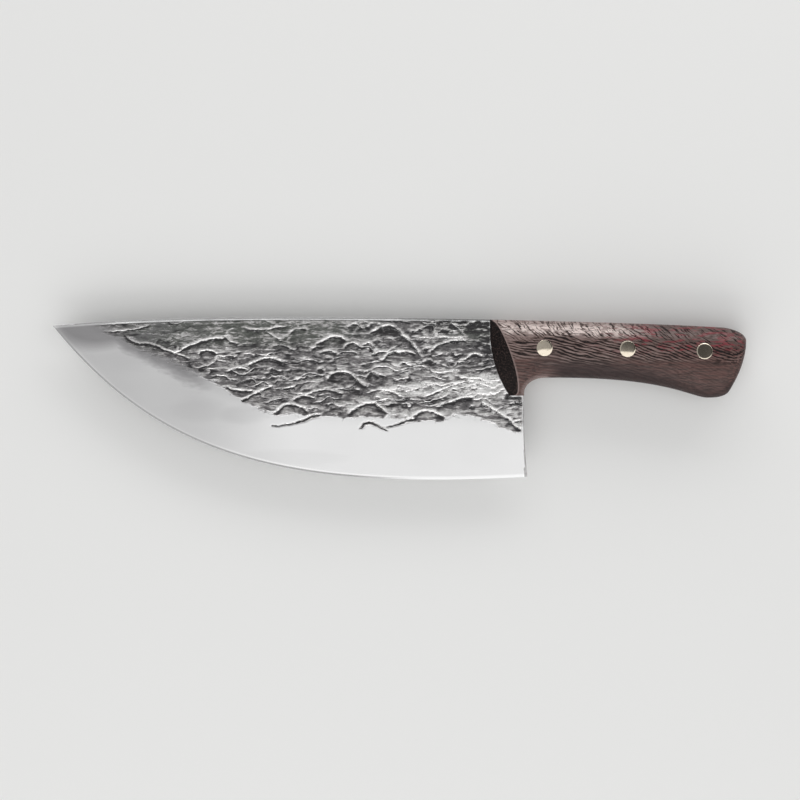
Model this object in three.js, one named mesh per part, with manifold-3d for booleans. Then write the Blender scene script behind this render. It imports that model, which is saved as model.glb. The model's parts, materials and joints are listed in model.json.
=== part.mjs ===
// A forged butcher's knife: one steel forging (blade and full tang), two wooden handle
// scales and three two-piece brass rivets.
//
// Millimetres. The knife lies on its right side: +X runs from the tip to the butt, +Y from
// the cutting edge to the spine, +Z out of the left side. The pieces are drawn with x = 0 at
// the heel corner, y = 0 at the top of the spine and z = 0 in the middle of the steel. The
// group then moves them so that the origin is at the bottom centre of the whole knife.

import * as THREE from 'three';
import { mergeVertices } from 'three/addons/utils/BufferGeometryUtils.js';
import Module from 'manifold-3d';

const wasm = await Module();
wasm.setup();

// ---- Driving dimensions ------------------------------------------------------------------

// Side view of the steel
const BLADE_LENGTH = 208.9; // heel corner to tip
const BLADE_DEPTH = 70.3; // top of the spine to the heel corner
const TIP_DROP = 3.85; // the tip's distance below the top of the spine
const TIP_ANGLE = 51.3; // degrees, how steeply the edge leaves the tip
const TIP_REACH = 77.8; // how far the edge keeps that direction
const HEEL_ANGLE = 3.1; // degrees, how much the edge rises to the heel
const HEEL_REACH = 101.5;
const SPINE_SLOPE = 0.02; // fall of the spine where the handle begins
const SPINE_JOIN_DROP = 0.95; // and how far it has fallen by there
const SPINE_RISE_SHARE = 0.234; // how far along the blade the spine climbs from the tip
const SPINE_CREST = 0.9; // height that pulls the spine up to its top
const SPINE_REACH = 60; // how far the spine keeps its slope ahead of the handle
const REAR_SET_BACK = 1.5; // the blade's rear edge lies this far in above the heel corner
const REAR_HOLLOW = 2.1; // and is drawn this far in halfway up

const HANDLE_REACH = 96.1; // heel corner to butt
const WAIST_DEPTH = 26.7; // top of the spine to the handle's underside
const PALM_DEPTH = 35.45; // top of the spine to the palm swell
const PALM_INSET = 16.6; // palm swell's lowest point to the butt
const WAIST_EASE = 0.757; // share of the underside that keeps the waist's direction
const WAIST_HOLLOW = 0.6; // height that draws the underside up behind the waist
const PALM_EASE = 0.111; // share of the underside that keeps the palm's direction
const FILLET_WIDTH = 9.2; // rounded corner between the blade and the handle
const FILLET_DEPTH = 6.6;
const BUTT_TURN_INSET = 7.4; // middle of the butt's rounded lower corner, ahead of the butt
const BUTT_TURN_RISE = 3.05; // and above the palm swell's lowest point
const BUTT_TURN_ANGLE = 59; // degrees, direction of the outline there
const BUTT_TURN_BEFORE = 2.6; // how far the outline has that direction before the turn
const BUTT_TURN_AFTER = 7; // and after it
const BUTT_DROP = 4.6; // spine's fall where the butt's upper corner begins
const BUTT_SLOPE = 0.06;
const BUTT_CORNER = 10.6; // length of that corner along the spine
const BUTT_CORNER_DEPTH = 5.9;
const BUTT_RUN = 8; // straight run of the butt below that corner
const CORNER_EASE = 0.55; // share of a rounded corner's side that keeps its direction

// Thickness of the steel and its grind
const STEEL_THICKNESS = 4.2;
const TIP_THICKNESS = 3.4;
const TAPER_START = 20; // the taper begins this far in front of the heel
const BEVEL_WIDTH = 22;
const EDGE_THICKNESS = 0.5; // behind the sharpened edge
const SHARPENED_ANGLE = 15; // degrees on each side
const APEX_THICKNESS = 0.1;

// Handle scales
const BOND_GAP = 0.1; // film of glue between the tang and each scale
const SCALE_LEAD = 16.5; // the scales' front, ahead of the heel
const SCALE_FRONT_RADIUS = 51.4;
const SCALE_FRONT_TOP = 6.1; // top of the spine to where that arc begins
const SCALE_FRONT_LEAN = 45; // degrees
const SCALE_FOOT = 34.6; // top of the spine to the scales' lower front end
const FRONT_THICKNESS = 7.5;
const PALM_THICKNESS = 8.3;
const CROWN_POWER = 0.75; // roundness of the crowned section
const CROWN_OVERRUN = 0.5; // the crown runs out this far past the outline
const CROWN_END_OVERRUN = 2; // this far past the butt
const CROWN_FLARE = 4.4; // and this far below the scales' foot, where the handle widens
const PALM_STATION = 0.7; // share of the handle's length at which the scales are thickest
const BUTT_ROUNDING = 9; // length over which the crown falls towards the butt
const BUTT_CROWN = 0.45; // share of the crown left at the butt

// Rivets: a solid male half pressed into a tubular female half
const RIVET_FRONT = 7.3; // behind the heel
const RIVET_REAR_INSET = 18.6; // ahead of the butt
const RIVETS = [
  { name: 'front', share: 0, drop: 13.7 },
  { name: 'middle', share: 0.519, drop: 14.1 },
  { name: 'rear', share: 1, drop: 15.1 },
];
const HEAD_DIAMETER = 7;
const HEAD_SEAT = 5; // height of the head's seat above the scale's inner face
const BARREL_DIAMETER = 5;
const SHANK_DIAMETER = 3;
const FIT_CLEARANCE = 0.1; // all round each rivet, and between its two halves
const HEAD_FLOOR = 1; // solid brass between the female half's bore and its head
const SEAT_CLEARANCE = 0.05; // under each head
const END_CLEARANCE = 0.5; // past the end of each half

const CURVE_STEPS = 24; // along each curve of the side view
const CROWN_STEPS = [32, 12]; // along and across the crown
const ROUND_STEPS = 24; // round each rivet
const MARGIN = 5; // how far cutting bodies reach past what they cut
const SKIN = 0.5; // and past a face that they only graze

// ---- Small helpers -----------------------------------------------------------------------

const point = (x, y) => new THREE.Vector2(x, y);
const radians = THREE.MathUtils.degToRad;
const lerp = THREE.MathUtils.lerp;

// A closed geometry as a solid that can be cut and joined.
function solid(geometry) {
  geometry.deleteAttribute('normal');
  geometry.deleteAttribute('uv');
  const merged = mergeVertices(geometry, 1e-5);
  return new wasm.Manifold(new wasm.Mesh({
    numProp: 3,
    vertProperties: new Float32Array(merged.attributes.position.array),
    triVerts: new Uint32Array(merged.index.array),
  }));
}

// A solid as a named mesh.
function mesh(name, body, material) {
  const cut = body.getMesh();
  const geometry = new THREE.BufferGeometry();
  geometry.setAttribute('position', new THREE.BufferAttribute(cut.vertProperties, 3));
  geometry.setIndex(new THREE.BufferAttribute(cut.triVerts, 1));
  geometry.computeVertexNormals();
  const piece = new THREE.Mesh(geometry, material);
  piece.name = name;
  return piece;
}

// A flat shape as a slab between two heights.
function slab(shape, bottom, top) {
  const geometry = new THREE.ExtrudeGeometry(shape, {
    depth: top - bottom, bevelEnabled: false, curveSegments: CURVE_STEPS,
  });
  return solid(geometry.translate(0, 0, bottom));
}

// A slab centred on z = 0 whose sides slope in at an angle to its flat, on both faces, until
// it is taller than the height that it has to cover.
function slopedBlank(shape, wall, angle, height) {
  const rise = height + SKIN;
  const geometry = new THREE.ExtrudeGeometry(shape, {
    depth: wall, curveSegments: CURVE_STEPS, bevelEnabled: true, bevelSegments: 1,
    bevelThickness: rise, bevelSize: rise / Math.tan(angle), bevelOffset: -rise / Math.tan(angle),
  });
  return solid(geometry.translate(0, 0, -wall / 2));
}

// ---- Side view ---------------------------------------------------------------------------

const TIP = point(-BLADE_LENGTH, -TIP_DROP);
const HEEL = point(0, -BLADE_DEPTH);
const SPINE_JOIN = point(-TAPER_START - MARGIN, -SPINE_JOIN_DROP);
const SPINE_END = point(HANDLE_REACH - BUTT_CORNER, -BUTT_DROP);
const BUTT = point(HANDLE_REACH, -BUTT_DROP - BUTT_CORNER_DEPTH);
const PALM = point(HANDLE_REACH - PALM_INSET, -PALM_DEPTH);
const WAIST = point(FILLET_WIDTH - REAR_SET_BACK, -WAIST_DEPTH);
const REAR_TOP = point(-REAR_SET_BACK, -WAIST_DEPTH - FILLET_DEPTH);
const BUTT_TURN = point(HANDLE_REACH - BUTT_TURN_INSET, -PALM_DEPTH + BUTT_TURN_RISE);
const BUTT_TURN_WAY = point(Math.cos(radians(BUTT_TURN_ANGLE)), Math.sin(radians(BUTT_TURN_ANGLE)));

const EDGE = new THREE.CubicBezierCurve(
  TIP,
  TIP.clone().add(point(Math.cos(radians(TIP_ANGLE)), -Math.sin(radians(TIP_ANGLE)))
    .multiplyScalar(TIP_REACH)),
  HEEL.clone().sub(point(Math.cos(radians(HEEL_ANGLE)), Math.sin(radians(HEEL_ANGLE)))
    .multiplyScalar(HEEL_REACH)),
  HEEL,
);

const BLADE_SPINE = new THREE.CubicBezierCurve(
  TIP,
  point(-(1 - SPINE_RISE_SHARE) * BLADE_LENGTH, SPINE_CREST),
  point(SPINE_JOIN.x - SPINE_REACH, SPINE_JOIN.y + SPINE_REACH * SPINE_SLOPE),
  SPINE_JOIN,
);

// The spine's control point lies where its first and last directions meet.
const spineTurn = (SPINE_END.y - SPINE_JOIN.y + SPINE_END.x * BUTT_SLOPE
  - SPINE_JOIN.x * SPINE_SLOPE) / (BUTT_SLOPE - SPINE_SLOPE);
const HANDLE_SPINE = new THREE.QuadraticBezierCurve(
  SPINE_JOIN,
  point(spineTurn, SPINE_JOIN.y - (spineTurn - SPINE_JOIN.x) * SPINE_SLOPE),
  SPINE_END,
);

const UNDERSIDE = new THREE.CubicBezierCurve(
  WAIST,
  point(lerp(WAIST.x, PALM.x, WAIST_EASE), WAIST.y + WAIST_HOLLOW),
  point(lerp(PALM.x, WAIST.x, PALM_EASE), PALM.y),
  PALM,
);

// From the blade's rear edge round the handle to the spine in front of the scales.
function traceHandle(path) {
  const beforeTurn = BUTT_TURN_WAY.clone().multiplyScalar(-BUTT_TURN_BEFORE).add(BUTT_TURN);
  const afterTurn = BUTT_TURN_WAY.clone().multiplyScalar(BUTT_TURN_AFTER).add(BUTT_TURN);
  const cornerRun = (1 - CORNER_EASE) * BUTT_CORNER;
  path.lineTo(REAR_TOP.x, REAR_TOP.y);
  path.bezierCurveTo(REAR_TOP.x, REAR_TOP.y + CORNER_EASE * FILLET_DEPTH,
    WAIST.x - CORNER_EASE * FILLET_WIDTH, WAIST.y, WAIST.x, WAIST.y);
  path.bezierCurveTo(UNDERSIDE.v1.x, UNDERSIDE.v1.y, UNDERSIDE.v2.x, UNDERSIDE.v2.y,
    PALM.x, PALM.y);
  path.bezierCurveTo(lerp(PALM.x, BUTT_TURN.x, CORNER_EASE), PALM.y, beforeTurn.x, beforeTurn.y,
    BUTT_TURN.x, BUTT_TURN.y);
  path.bezierCurveTo(afterTurn.x, afterTurn.y, BUTT.x, BUTT.y - BUTT_RUN, BUTT.x, BUTT.y);
  path.bezierCurveTo(BUTT.x, BUTT.y + CORNER_EASE * BUTT_CORNER_DEPTH,
    SPINE_END.x + cornerRun, SPINE_END.y - cornerRun * BUTT_SLOPE, SPINE_END.x, SPINE_END.y);
  path.quadraticCurveTo(HANDLE_SPINE.v1.x, HANDLE_SPINE.v1.y, SPINE_JOIN.x, SPINE_JOIN.y);
}

function steelOutline() {
  const shape = new THREE.Shape();
  shape.moveTo(TIP.x, TIP.y);
  shape.bezierCurveTo(EDGE.v1.x, EDGE.v1.y, EDGE.v2.x, EDGE.v2.y, HEEL.x, HEEL.y);
  shape.quadraticCurveTo(-REAR_HOLLOW, (HEEL.y + REAR_TOP.y) / 2, REAR_TOP.x, REAR_TOP.y);
  traceHandle(shape);
  shape.bezierCurveTo(BLADE_SPINE.v2.x, BLADE_SPINE.v2.y, BLADE_SPINE.v1.x, BLADE_SPINE.v1.y,
    TIP.x, TIP.y);
  return shape;
}

// The cutting edge run on past the tip and the heel, closed far above the spine, so that only
// the edge itself is ground.
function grindOutline(reach) {
  const before = EDGE.getTangent(0).multiplyScalar(-3 * reach).add(TIP);
  const after = EDGE.getTangent(1).multiplyScalar(HANDLE_REACH + 3 * reach).add(HEEL);
  const shape = new THREE.Shape();
  shape.moveTo(before.x, before.y);
  shape.lineTo(TIP.x, TIP.y);
  shape.bezierCurveTo(EDGE.v1.x, EDGE.v1.y, EDGE.v2.x, EDGE.v2.y, HEEL.x, HEEL.y);
  shape.lineTo(after.x, after.y);
  shape.lineTo(after.x, before.y);
  return shape;
}

// ---- Steel: blade and full tang in one forging ---------------------------------------------

// Side profile that thins the blade from the front of the handle to the tip.
function taperBody() {
  const half = STEEL_THICKNESS / 2;
  const fall = (STEEL_THICKNESS - TIP_THICKNESS) / 2 / (BLADE_LENGTH - TAPER_START);
  const front = -BLADE_LENGTH - MARGIN;
  const frontHalf = TIP_THICKNESS / 2 - fall * MARGIN;
  const rear = HANDLE_REACH + MARGIN;
  const profile = new THREE.Shape([
    point(front, -frontHalf), point(-TAPER_START, -half), point(rear, -half),
    point(rear, half), point(-TAPER_START, half), point(front, frontHalf),
  ]);
  const span = 2 * BLADE_DEPTH;
  const geometry = new THREE.ExtrudeGeometry(profile, { depth: span, bevelEnabled: false });
  return solid(geometry.rotateX(Math.PI / 2).translate(0, span / 4, 0));
}

function rivetPlaces() {
  const last = HANDLE_REACH - RIVET_REAR_INSET;
  return RIVETS.map(({ name, share, drop }) => ({
    name, x: lerp(RIVET_FRONT, last, share), y: -drop,
  }));
}

// A round cutter standing on the knife's flat at a rivet's place.
function bore(place, diameter, bottom, top) {
  const geometry = new THREE.CylinderGeometry(diameter / 2, diameter / 2, top - bottom, ROUND_STEPS);
  geometry.rotateX(Math.PI / 2).translate(place.x, place.y, (bottom + top) / 2);
  return solid(geometry);
}

function steelBody() {
  const half = STEEL_THICKNESS / 2;
  const bevelAngle = Math.atan((half - EDGE_THICKNESS / 2) / BEVEL_WIDTH);
  const bevelReach = (half + SKIN) / Math.tan(bevelAngle);
  let body = slab(steelOutline(), -half - MARGIN, half + MARGIN)
    .intersect(taperBody())
    .intersect(slopedBlank(grindOutline(bevelReach), EDGE_THICKNESS, bevelAngle, half))
    .intersect(slopedBlank(grindOutline(bevelReach), APEX_THICKNESS,
      radians(SHARPENED_ANGLE), half));
  for (const place of rivetPlaces()) {
    body = body.subtract(bore(place, BARREL_DIAMETER + 2 * FIT_CLEARANCE, -half - SKIN, half + SKIN));
  }
  return body;
}

// ---- Handle scales -------------------------------------------------------------------------

const SCALE_BASE = STEEL_THICKNESS / 2 + BOND_GAP;

// Lower and upper guides of the crown, from ahead of the scale's front to past the butt.
const LOWER_GUIDE = new THREE.CurvePath();
LOWER_GUIDE.add(new THREE.CubicBezierCurve(
  point(-SCALE_LEAD - MARGIN, -SCALE_FOOT - CROWN_FLARE),
  point(WAIST.x - REAR_SET_BACK, -SCALE_FOOT - CROWN_FLARE + 1),
  point(WAIST.x - 0.8 * FILLET_WIDTH, WAIST.y),
  WAIST,
));
LOWER_GUIDE.add(UNDERSIDE);
LOWER_GUIDE.add(new THREE.QuadraticBezierCurve(
  PALM,
  point(lerp(PALM.x, BUTT_TURN.x, CORNER_EASE), PALM.y),
  point(BUTT_TURN.x + 2 * CROWN_END_OVERRUN, PALM.y + SKIN),
));
const UPPER_GUIDE = new THREE.CurvePath();
UPPER_GUIDE.add(HANDLE_SPINE);
UPPER_GUIDE.add(new THREE.LineCurve(SPINE_END, point(HANDLE_REACH + CROWN_END_OVERRUN, -BUTT_DROP - SKIN)));

// The crowned upper surface of a scale over everything down to a floor. A box's own grid is
// laid between the two guides and its top is raised to the crown.
function crownBody(floor) {
  const geometry = new THREE.BoxGeometry(1, 1, 1, ...CROWN_STEPS, 1);
  const grid = geometry.attributes.position;
  const length = LOWER_GUIDE.getLength();
  for (let i = 0; i < grid.count; i += 1) {
    const along = grid.getX(i) + 0.5;
    const across = 2 * grid.getY(i);
    const lower = LOWER_GUIDE.getPoint(along);
    const upper = UPPER_GUIDE.getPoint(along);
    const middle = lower.clone().add(upper).multiplyScalar(0.5);
    const halfWidth = lower.distanceTo(upper) / 2 + CROWN_OVERRUN;
    const place = upper.clone().sub(lower).setLength(across * halfWidth).add(middle);
    const toButt = Math.min((1 - along) * length / BUTT_ROUNDING, 1);
    const fall = Math.sqrt(1 - (1 - BUTT_CROWN ** 2) * (1 - toButt) ** 2);
    const swell = THREE.MathUtils.smoothstep(along, 0, PALM_STATION);
    const thickness = lerp(FRONT_THICKNESS, PALM_THICKNESS, swell);
    const crown = thickness * fall * (1 - across ** 2) ** CROWN_POWER;
    grid.setXYZ(i, place.x, place.y, grid.getZ(i) > 0 ? SCALE_BASE + crown : floor);
  }
  return solid(geometry);
}

// Plan of a scale: its foot, then round the handle, then forward past its leaning front.
function scaleOutline() {
  const shape = new THREE.Shape();
  shape.moveTo(SPINE_JOIN.x, -SCALE_FOOT);
  shape.lineTo(REAR_TOP.x, -SCALE_FOOT);
  traceHandle(shape);
  return shape;
}

// Trims the scale's front to an arc in plan that leans back as it rises. The arc starts square
// to the spine and runs on straight below the scale's foot.
function frontBlank() {
  const thickest = Math.max(FRONT_THICKNESS, PALM_THICKNESS) + MARGIN;
  const reach = thickest / Math.tan(radians(SCALE_FRONT_LEAN));
  const turn = Math.asin((SCALE_FOOT - SCALE_FRONT_TOP) / SCALE_FRONT_RADIUS);
  const shape = new THREE.Shape();
  shape.moveTo(-SCALE_LEAD, 2 * reach);
  shape.lineTo(-SCALE_LEAD, -SCALE_FRONT_TOP);
  shape.absarc(SCALE_FRONT_RADIUS - SCALE_LEAD, -SCALE_FRONT_TOP, SCALE_FRONT_RADIUS,
    Math.PI, Math.PI + turn, false);
  const foot = point(Math.sin(turn), -Math.cos(turn)).multiplyScalar(3 * reach)
    .add(shape.currentPoint);
  shape.lineTo(foot.x, foot.y);
  shape.lineTo(HANDLE_REACH + 2 * reach, foot.y);
  shape.lineTo(HANDLE_REACH + 2 * reach, 2 * reach);
  return slopedBlank(shape, 2 * SCALE_BASE, radians(SCALE_FRONT_LEAN), thickest);
}

function scaleBody() {
  let body = slab(scaleOutline(), SCALE_BASE, SCALE_BASE + PALM_THICKNESS + MARGIN)
    .intersect(crownBody(SCALE_BASE - SKIN))
    .intersect(frontBlank());
  const seat = SCALE_BASE + HEAD_SEAT;
  for (const place of rivetPlaces()) {
    body = body
      .subtract(bore(place, BARREL_DIAMETER + 2 * FIT_CLEARANCE, SCALE_BASE - SKIN, seat + SKIN))
      .subtract(bore(place, HEAD_DIAMETER + 2 * FIT_CLEARANCE, seat, seat + 2 * MARGIN));
  }
  return body;
}

// ---- Rivets --------------------------------------------------------------------------------

const SEAT = SCALE_BASE + HEAD_SEAT + SEAT_CLEARANCE;
const BORE_END = SEAT - HEAD_FLOOR;

// A turned piece standing on a rivet's place, its head ground to the crown of the scale.
function rivetHalf(place, profile) {
  const geometry = new THREE.LatheGeometry(profile.map(([r, z]) => point(r, z)), ROUND_STEPS);
  geometry.rotateX(Math.PI / 2).translate(place.x, place.y, 0);
  return solid(geometry).intersect(crownBody(-2 * SEAT));
}

function femaleHalf(place) {
  const top = SCALE_BASE + PALM_THICKNESS + MARGIN;
  const barrelEnd = -SEAT + END_CLEARANCE;
  const boreRadius = SHANK_DIAMETER / 2 + FIT_CLEARANCE;
  return rivetHalf(place, [
    [0, BORE_END], [boreRadius, BORE_END], [boreRadius, barrelEnd],
    [BARREL_DIAMETER / 2, barrelEnd], [BARREL_DIAMETER / 2, SEAT], [HEAD_DIAMETER / 2, SEAT],
    [HEAD_DIAMETER / 2, top], [0, top],
  ]);
}

function maleHalf(place) {
  const top = SCALE_BASE + PALM_THICKNESS + MARGIN;
  return rivetHalf(place, [
    [0, END_CLEARANCE - BORE_END], [SHANK_DIAMETER / 2, END_CLEARANCE - BORE_END],
    [SHANK_DIAMETER / 2, SEAT], [HEAD_DIAMETER / 2, SEAT], [HEAD_DIAMETER / 2, top], [0, top],
  ]);
}

// The same piece on the knife's right side.
function mirrored(piece) {
  piece.geometry.scale(1, 1, -1);
  const index = piece.geometry.index;
  for (let i = 0; i < index.count; i += 3) {
    const second = index.getX(i + 1);
    index.setX(i + 1, index.getX(i + 2));
    index.setX(i + 2, second);
  }
  piece.geometry.computeVertexNormals();
  return piece;
}

// ---- Assembly ------------------------------------------------------------------------------

const steel = new THREE.MeshStandardMaterial({ color: '#8b8d8a', roughness: 0.4, metalness: 1 });
const wenge = () => new THREE.MeshStandardMaterial({ color: '#4a3833', roughness: 0.5 });
const brass = () => new THREE.MeshStandardMaterial({ color: '#cbb27c', roughness: 0.2, metalness: 1 });

const knife = new THREE.Group();
knife.add(mesh('blade', steelBody(), steel));
knife.add(mesh('left_scale', scaleBody(), wenge()));
knife.add(mirrored(mesh('right_scale', scaleBody(), wenge())));
for (const place of rivetPlaces()) {
  knife.add(mesh(`${place.name}_rivet_female`, femaleHalf(place), brass()));
  knife.add(mirrored(mesh(`${place.name}_rivet_male`, maleHalf(place), brass())));
}

const box = new THREE.Box3().setFromObject(knife);
const centre = box.getCenter(new THREE.Vector3());
knife.position.set(-centre.x, -centre.y, -box.min.z);

const group = new THREE.Group();
group.add(knife);

export default group;
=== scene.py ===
"""A forged butcher's knife: hammered steel with a polished bevel, wenge scales, brass rivets.

The shapes are drawn in millimetres on the knife's own plan, with x = 0 at the heel corner,
y = 0 at the top of the spine and z = 0 in the middle of the steel. Each finished mesh is then
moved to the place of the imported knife, and scaled to metres.
"""

import json
import logging
import math
from dataclasses import dataclass, field
from enum import Enum
from typing import Sequence

import bmesh
import bpy
import numpy as np
from mathutils import Matrix, Vector

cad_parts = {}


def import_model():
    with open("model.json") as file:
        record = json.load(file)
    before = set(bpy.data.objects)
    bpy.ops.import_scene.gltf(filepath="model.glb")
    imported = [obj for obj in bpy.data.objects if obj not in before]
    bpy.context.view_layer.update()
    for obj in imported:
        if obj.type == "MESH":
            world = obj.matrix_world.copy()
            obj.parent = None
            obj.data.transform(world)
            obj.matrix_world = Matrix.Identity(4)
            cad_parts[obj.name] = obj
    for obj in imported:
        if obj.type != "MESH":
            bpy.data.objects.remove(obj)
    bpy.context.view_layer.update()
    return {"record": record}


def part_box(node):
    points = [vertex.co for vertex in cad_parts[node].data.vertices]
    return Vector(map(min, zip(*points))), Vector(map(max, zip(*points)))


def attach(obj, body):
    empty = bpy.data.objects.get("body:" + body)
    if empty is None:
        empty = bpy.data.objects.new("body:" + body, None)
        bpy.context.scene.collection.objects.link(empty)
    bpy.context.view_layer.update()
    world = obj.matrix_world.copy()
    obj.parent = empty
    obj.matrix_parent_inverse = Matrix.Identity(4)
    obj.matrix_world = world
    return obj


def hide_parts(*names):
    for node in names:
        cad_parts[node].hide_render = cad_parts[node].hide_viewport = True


LOG = logging.getLogger("knife")
MM = 0.001
MERGE = 1e-4
Colour = tuple[float, float, float, float]


class Side(Enum):
    """The two flats of the knife, by the sign of their height."""

    LEFT = 1
    RIGHT = -1


# ---- Curves and fields ---------------------------------------------------------------------


def bezier(*handles: Sequence[float], steps: int = 60) -> np.ndarray:
    """Samples a Bezier curve of any degree.

    Args:
        handles: its control points, in order.
        steps: how many straight pieces stand for it.

    Returns:
        The points, one to a row.
    """
    points = np.repeat(np.array(handles, dtype=float)[:, None, :], steps + 1, axis=1)
    share = np.linspace(0.0, 1.0, steps + 1)[:, None]
    while len(points) > 1:
        points = points[:-1] * (1 - share) + points[1:] * share
    return points[0]


def joined(*curves: np.ndarray) -> np.ndarray:
    """Joins curves that meet end to start, without the doubled points."""
    return np.concatenate([curves[0], *[curve[1:] for curve in curves[1:]]])


def evenly(curve: np.ndarray, shares: np.ndarray) -> np.ndarray:
    """Finds the points at given shares of a curve's length.

    Args:
        curve: the curve's points.
        shares: shares of its length, from 0 to 1.

    Returns:
        One point for each share.
    """
    run = np.concatenate([[0.0], np.cumsum(np.linalg.norm(np.diff(curve, axis=0), axis=1))])
    at = np.asarray(shares) * run[-1]
    return np.stack([np.interp(at, run, curve[:, 0]), np.interp(at, run, curve[:, 1])], axis=-1)


def height_at(curve: np.ndarray, x: np.ndarray) -> np.ndarray:
    """Gives y on a curve that runs along x."""
    order = np.argsort(curve[:, 0])
    return np.interp(x, curve[order, 0], curve[order, 1])


def smooth(low: float, high: float, value: np.ndarray) -> np.ndarray:
    """A smooth step from 0 at low to 1 at high."""
    share = np.clip((np.asarray(value) - low) / (high - low), 0.0, 1.0)
    return share * share * (3 - 2 * share)


def grain(x: np.ndarray, y: np.ndarray, period: tuple[float, float], seed: int) -> np.ndarray:
    """Smooth noise between about -1 and 1 over a plan.

    Args:
        x: places along the knife.
        y: places across it.
        period: the noise's size along and across.
        seed: which noise.

    Returns:
        One value for each place.
    """
    lean = np.random.default_rng(seed).uniform(0, 2 * math.pi, (64, 64))
    u, v = x / period[0], y / period[1]
    cell_u, cell_v = np.floor(u).astype(int), np.floor(v).astype(int)
    total = np.zeros(np.shape(x))
    for step_u in (0, 1):
        for step_v in (0, 1):
            angle = lean[(cell_u + step_u) % 64, (cell_v + step_v) % 64]
            off_u, off_v = u - cell_u - step_u, v - cell_v - step_v
            weight = smooth(1.0, 0.0, np.abs(off_u)) * smooth(1.0, 0.0, np.abs(off_v))
            total += weight * (np.cos(angle) * off_u + np.sin(angle) * off_v)
    return 1.6 * total


def rounded(points: np.ndarray, rounds: int = 2) -> np.ndarray:
    """Cuts a line's corners until it runs smoothly, keeping its ends.

    Args:
        points: the line's points.
        rounds: how often every corner is cut.

    Returns:
        The smoother line's points.
    """
    for _ in range(rounds):
        ahead = 0.75 * points[:-1] + 0.25 * points[1:]
        behind = 0.25 * points[:-1] + 0.75 * points[1:]
        middle = np.stack([ahead, behind], axis=1).reshape(-1, 2)
        points = np.vstack([points[:1], middle, points[-1:]])
    return points


def blurred(field_values: np.ndarray, widths: tuple[float, float]) -> np.ndarray:
    """Blurs an even raster.

    Args:
        field_values: the raster.
        widths: how far the blur reaches along each axis, in cells.

    Returns:
        The blurred raster.
    """
    waves = [np.fft.fftfreq(size) for size in field_values.shape]
    fall = np.exp(-2 * (math.pi * widths[0] * waves[0][:, None]) ** 2)
    fall = fall * np.exp(-2 * (math.pi * widths[1] * waves[1][None, :]) ** 2)
    return np.real(np.fft.ifft2(np.fft.fft2(field_values) * fall))


def distance_to(curve: np.ndarray, points: np.ndarray) -> np.ndarray:
    """Gives each point's distance to a curve.

    Args:
        curve: the curve's points.
        points: places, with x and y on the last axis.

    Returns:
        One distance for each place.
    """
    flat = points.reshape(-1, 2)
    start, way = curve[:-1], np.diff(curve, axis=0)
    square = np.maximum((way**2).sum(1), 1e-12)
    nearest = np.full(len(flat), np.inf)
    for a, w, s in zip(start, way, square):
        away = flat - a
        along = np.clip(away @ w / s, 0.0, 1.0)
        nearest = np.minimum(nearest, np.hypot(*(away - along[:, None] * w).T))
    return nearest.reshape(points.shape[:-1])


# ---- The knife's side view -----------------------------------------------------------------


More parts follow.
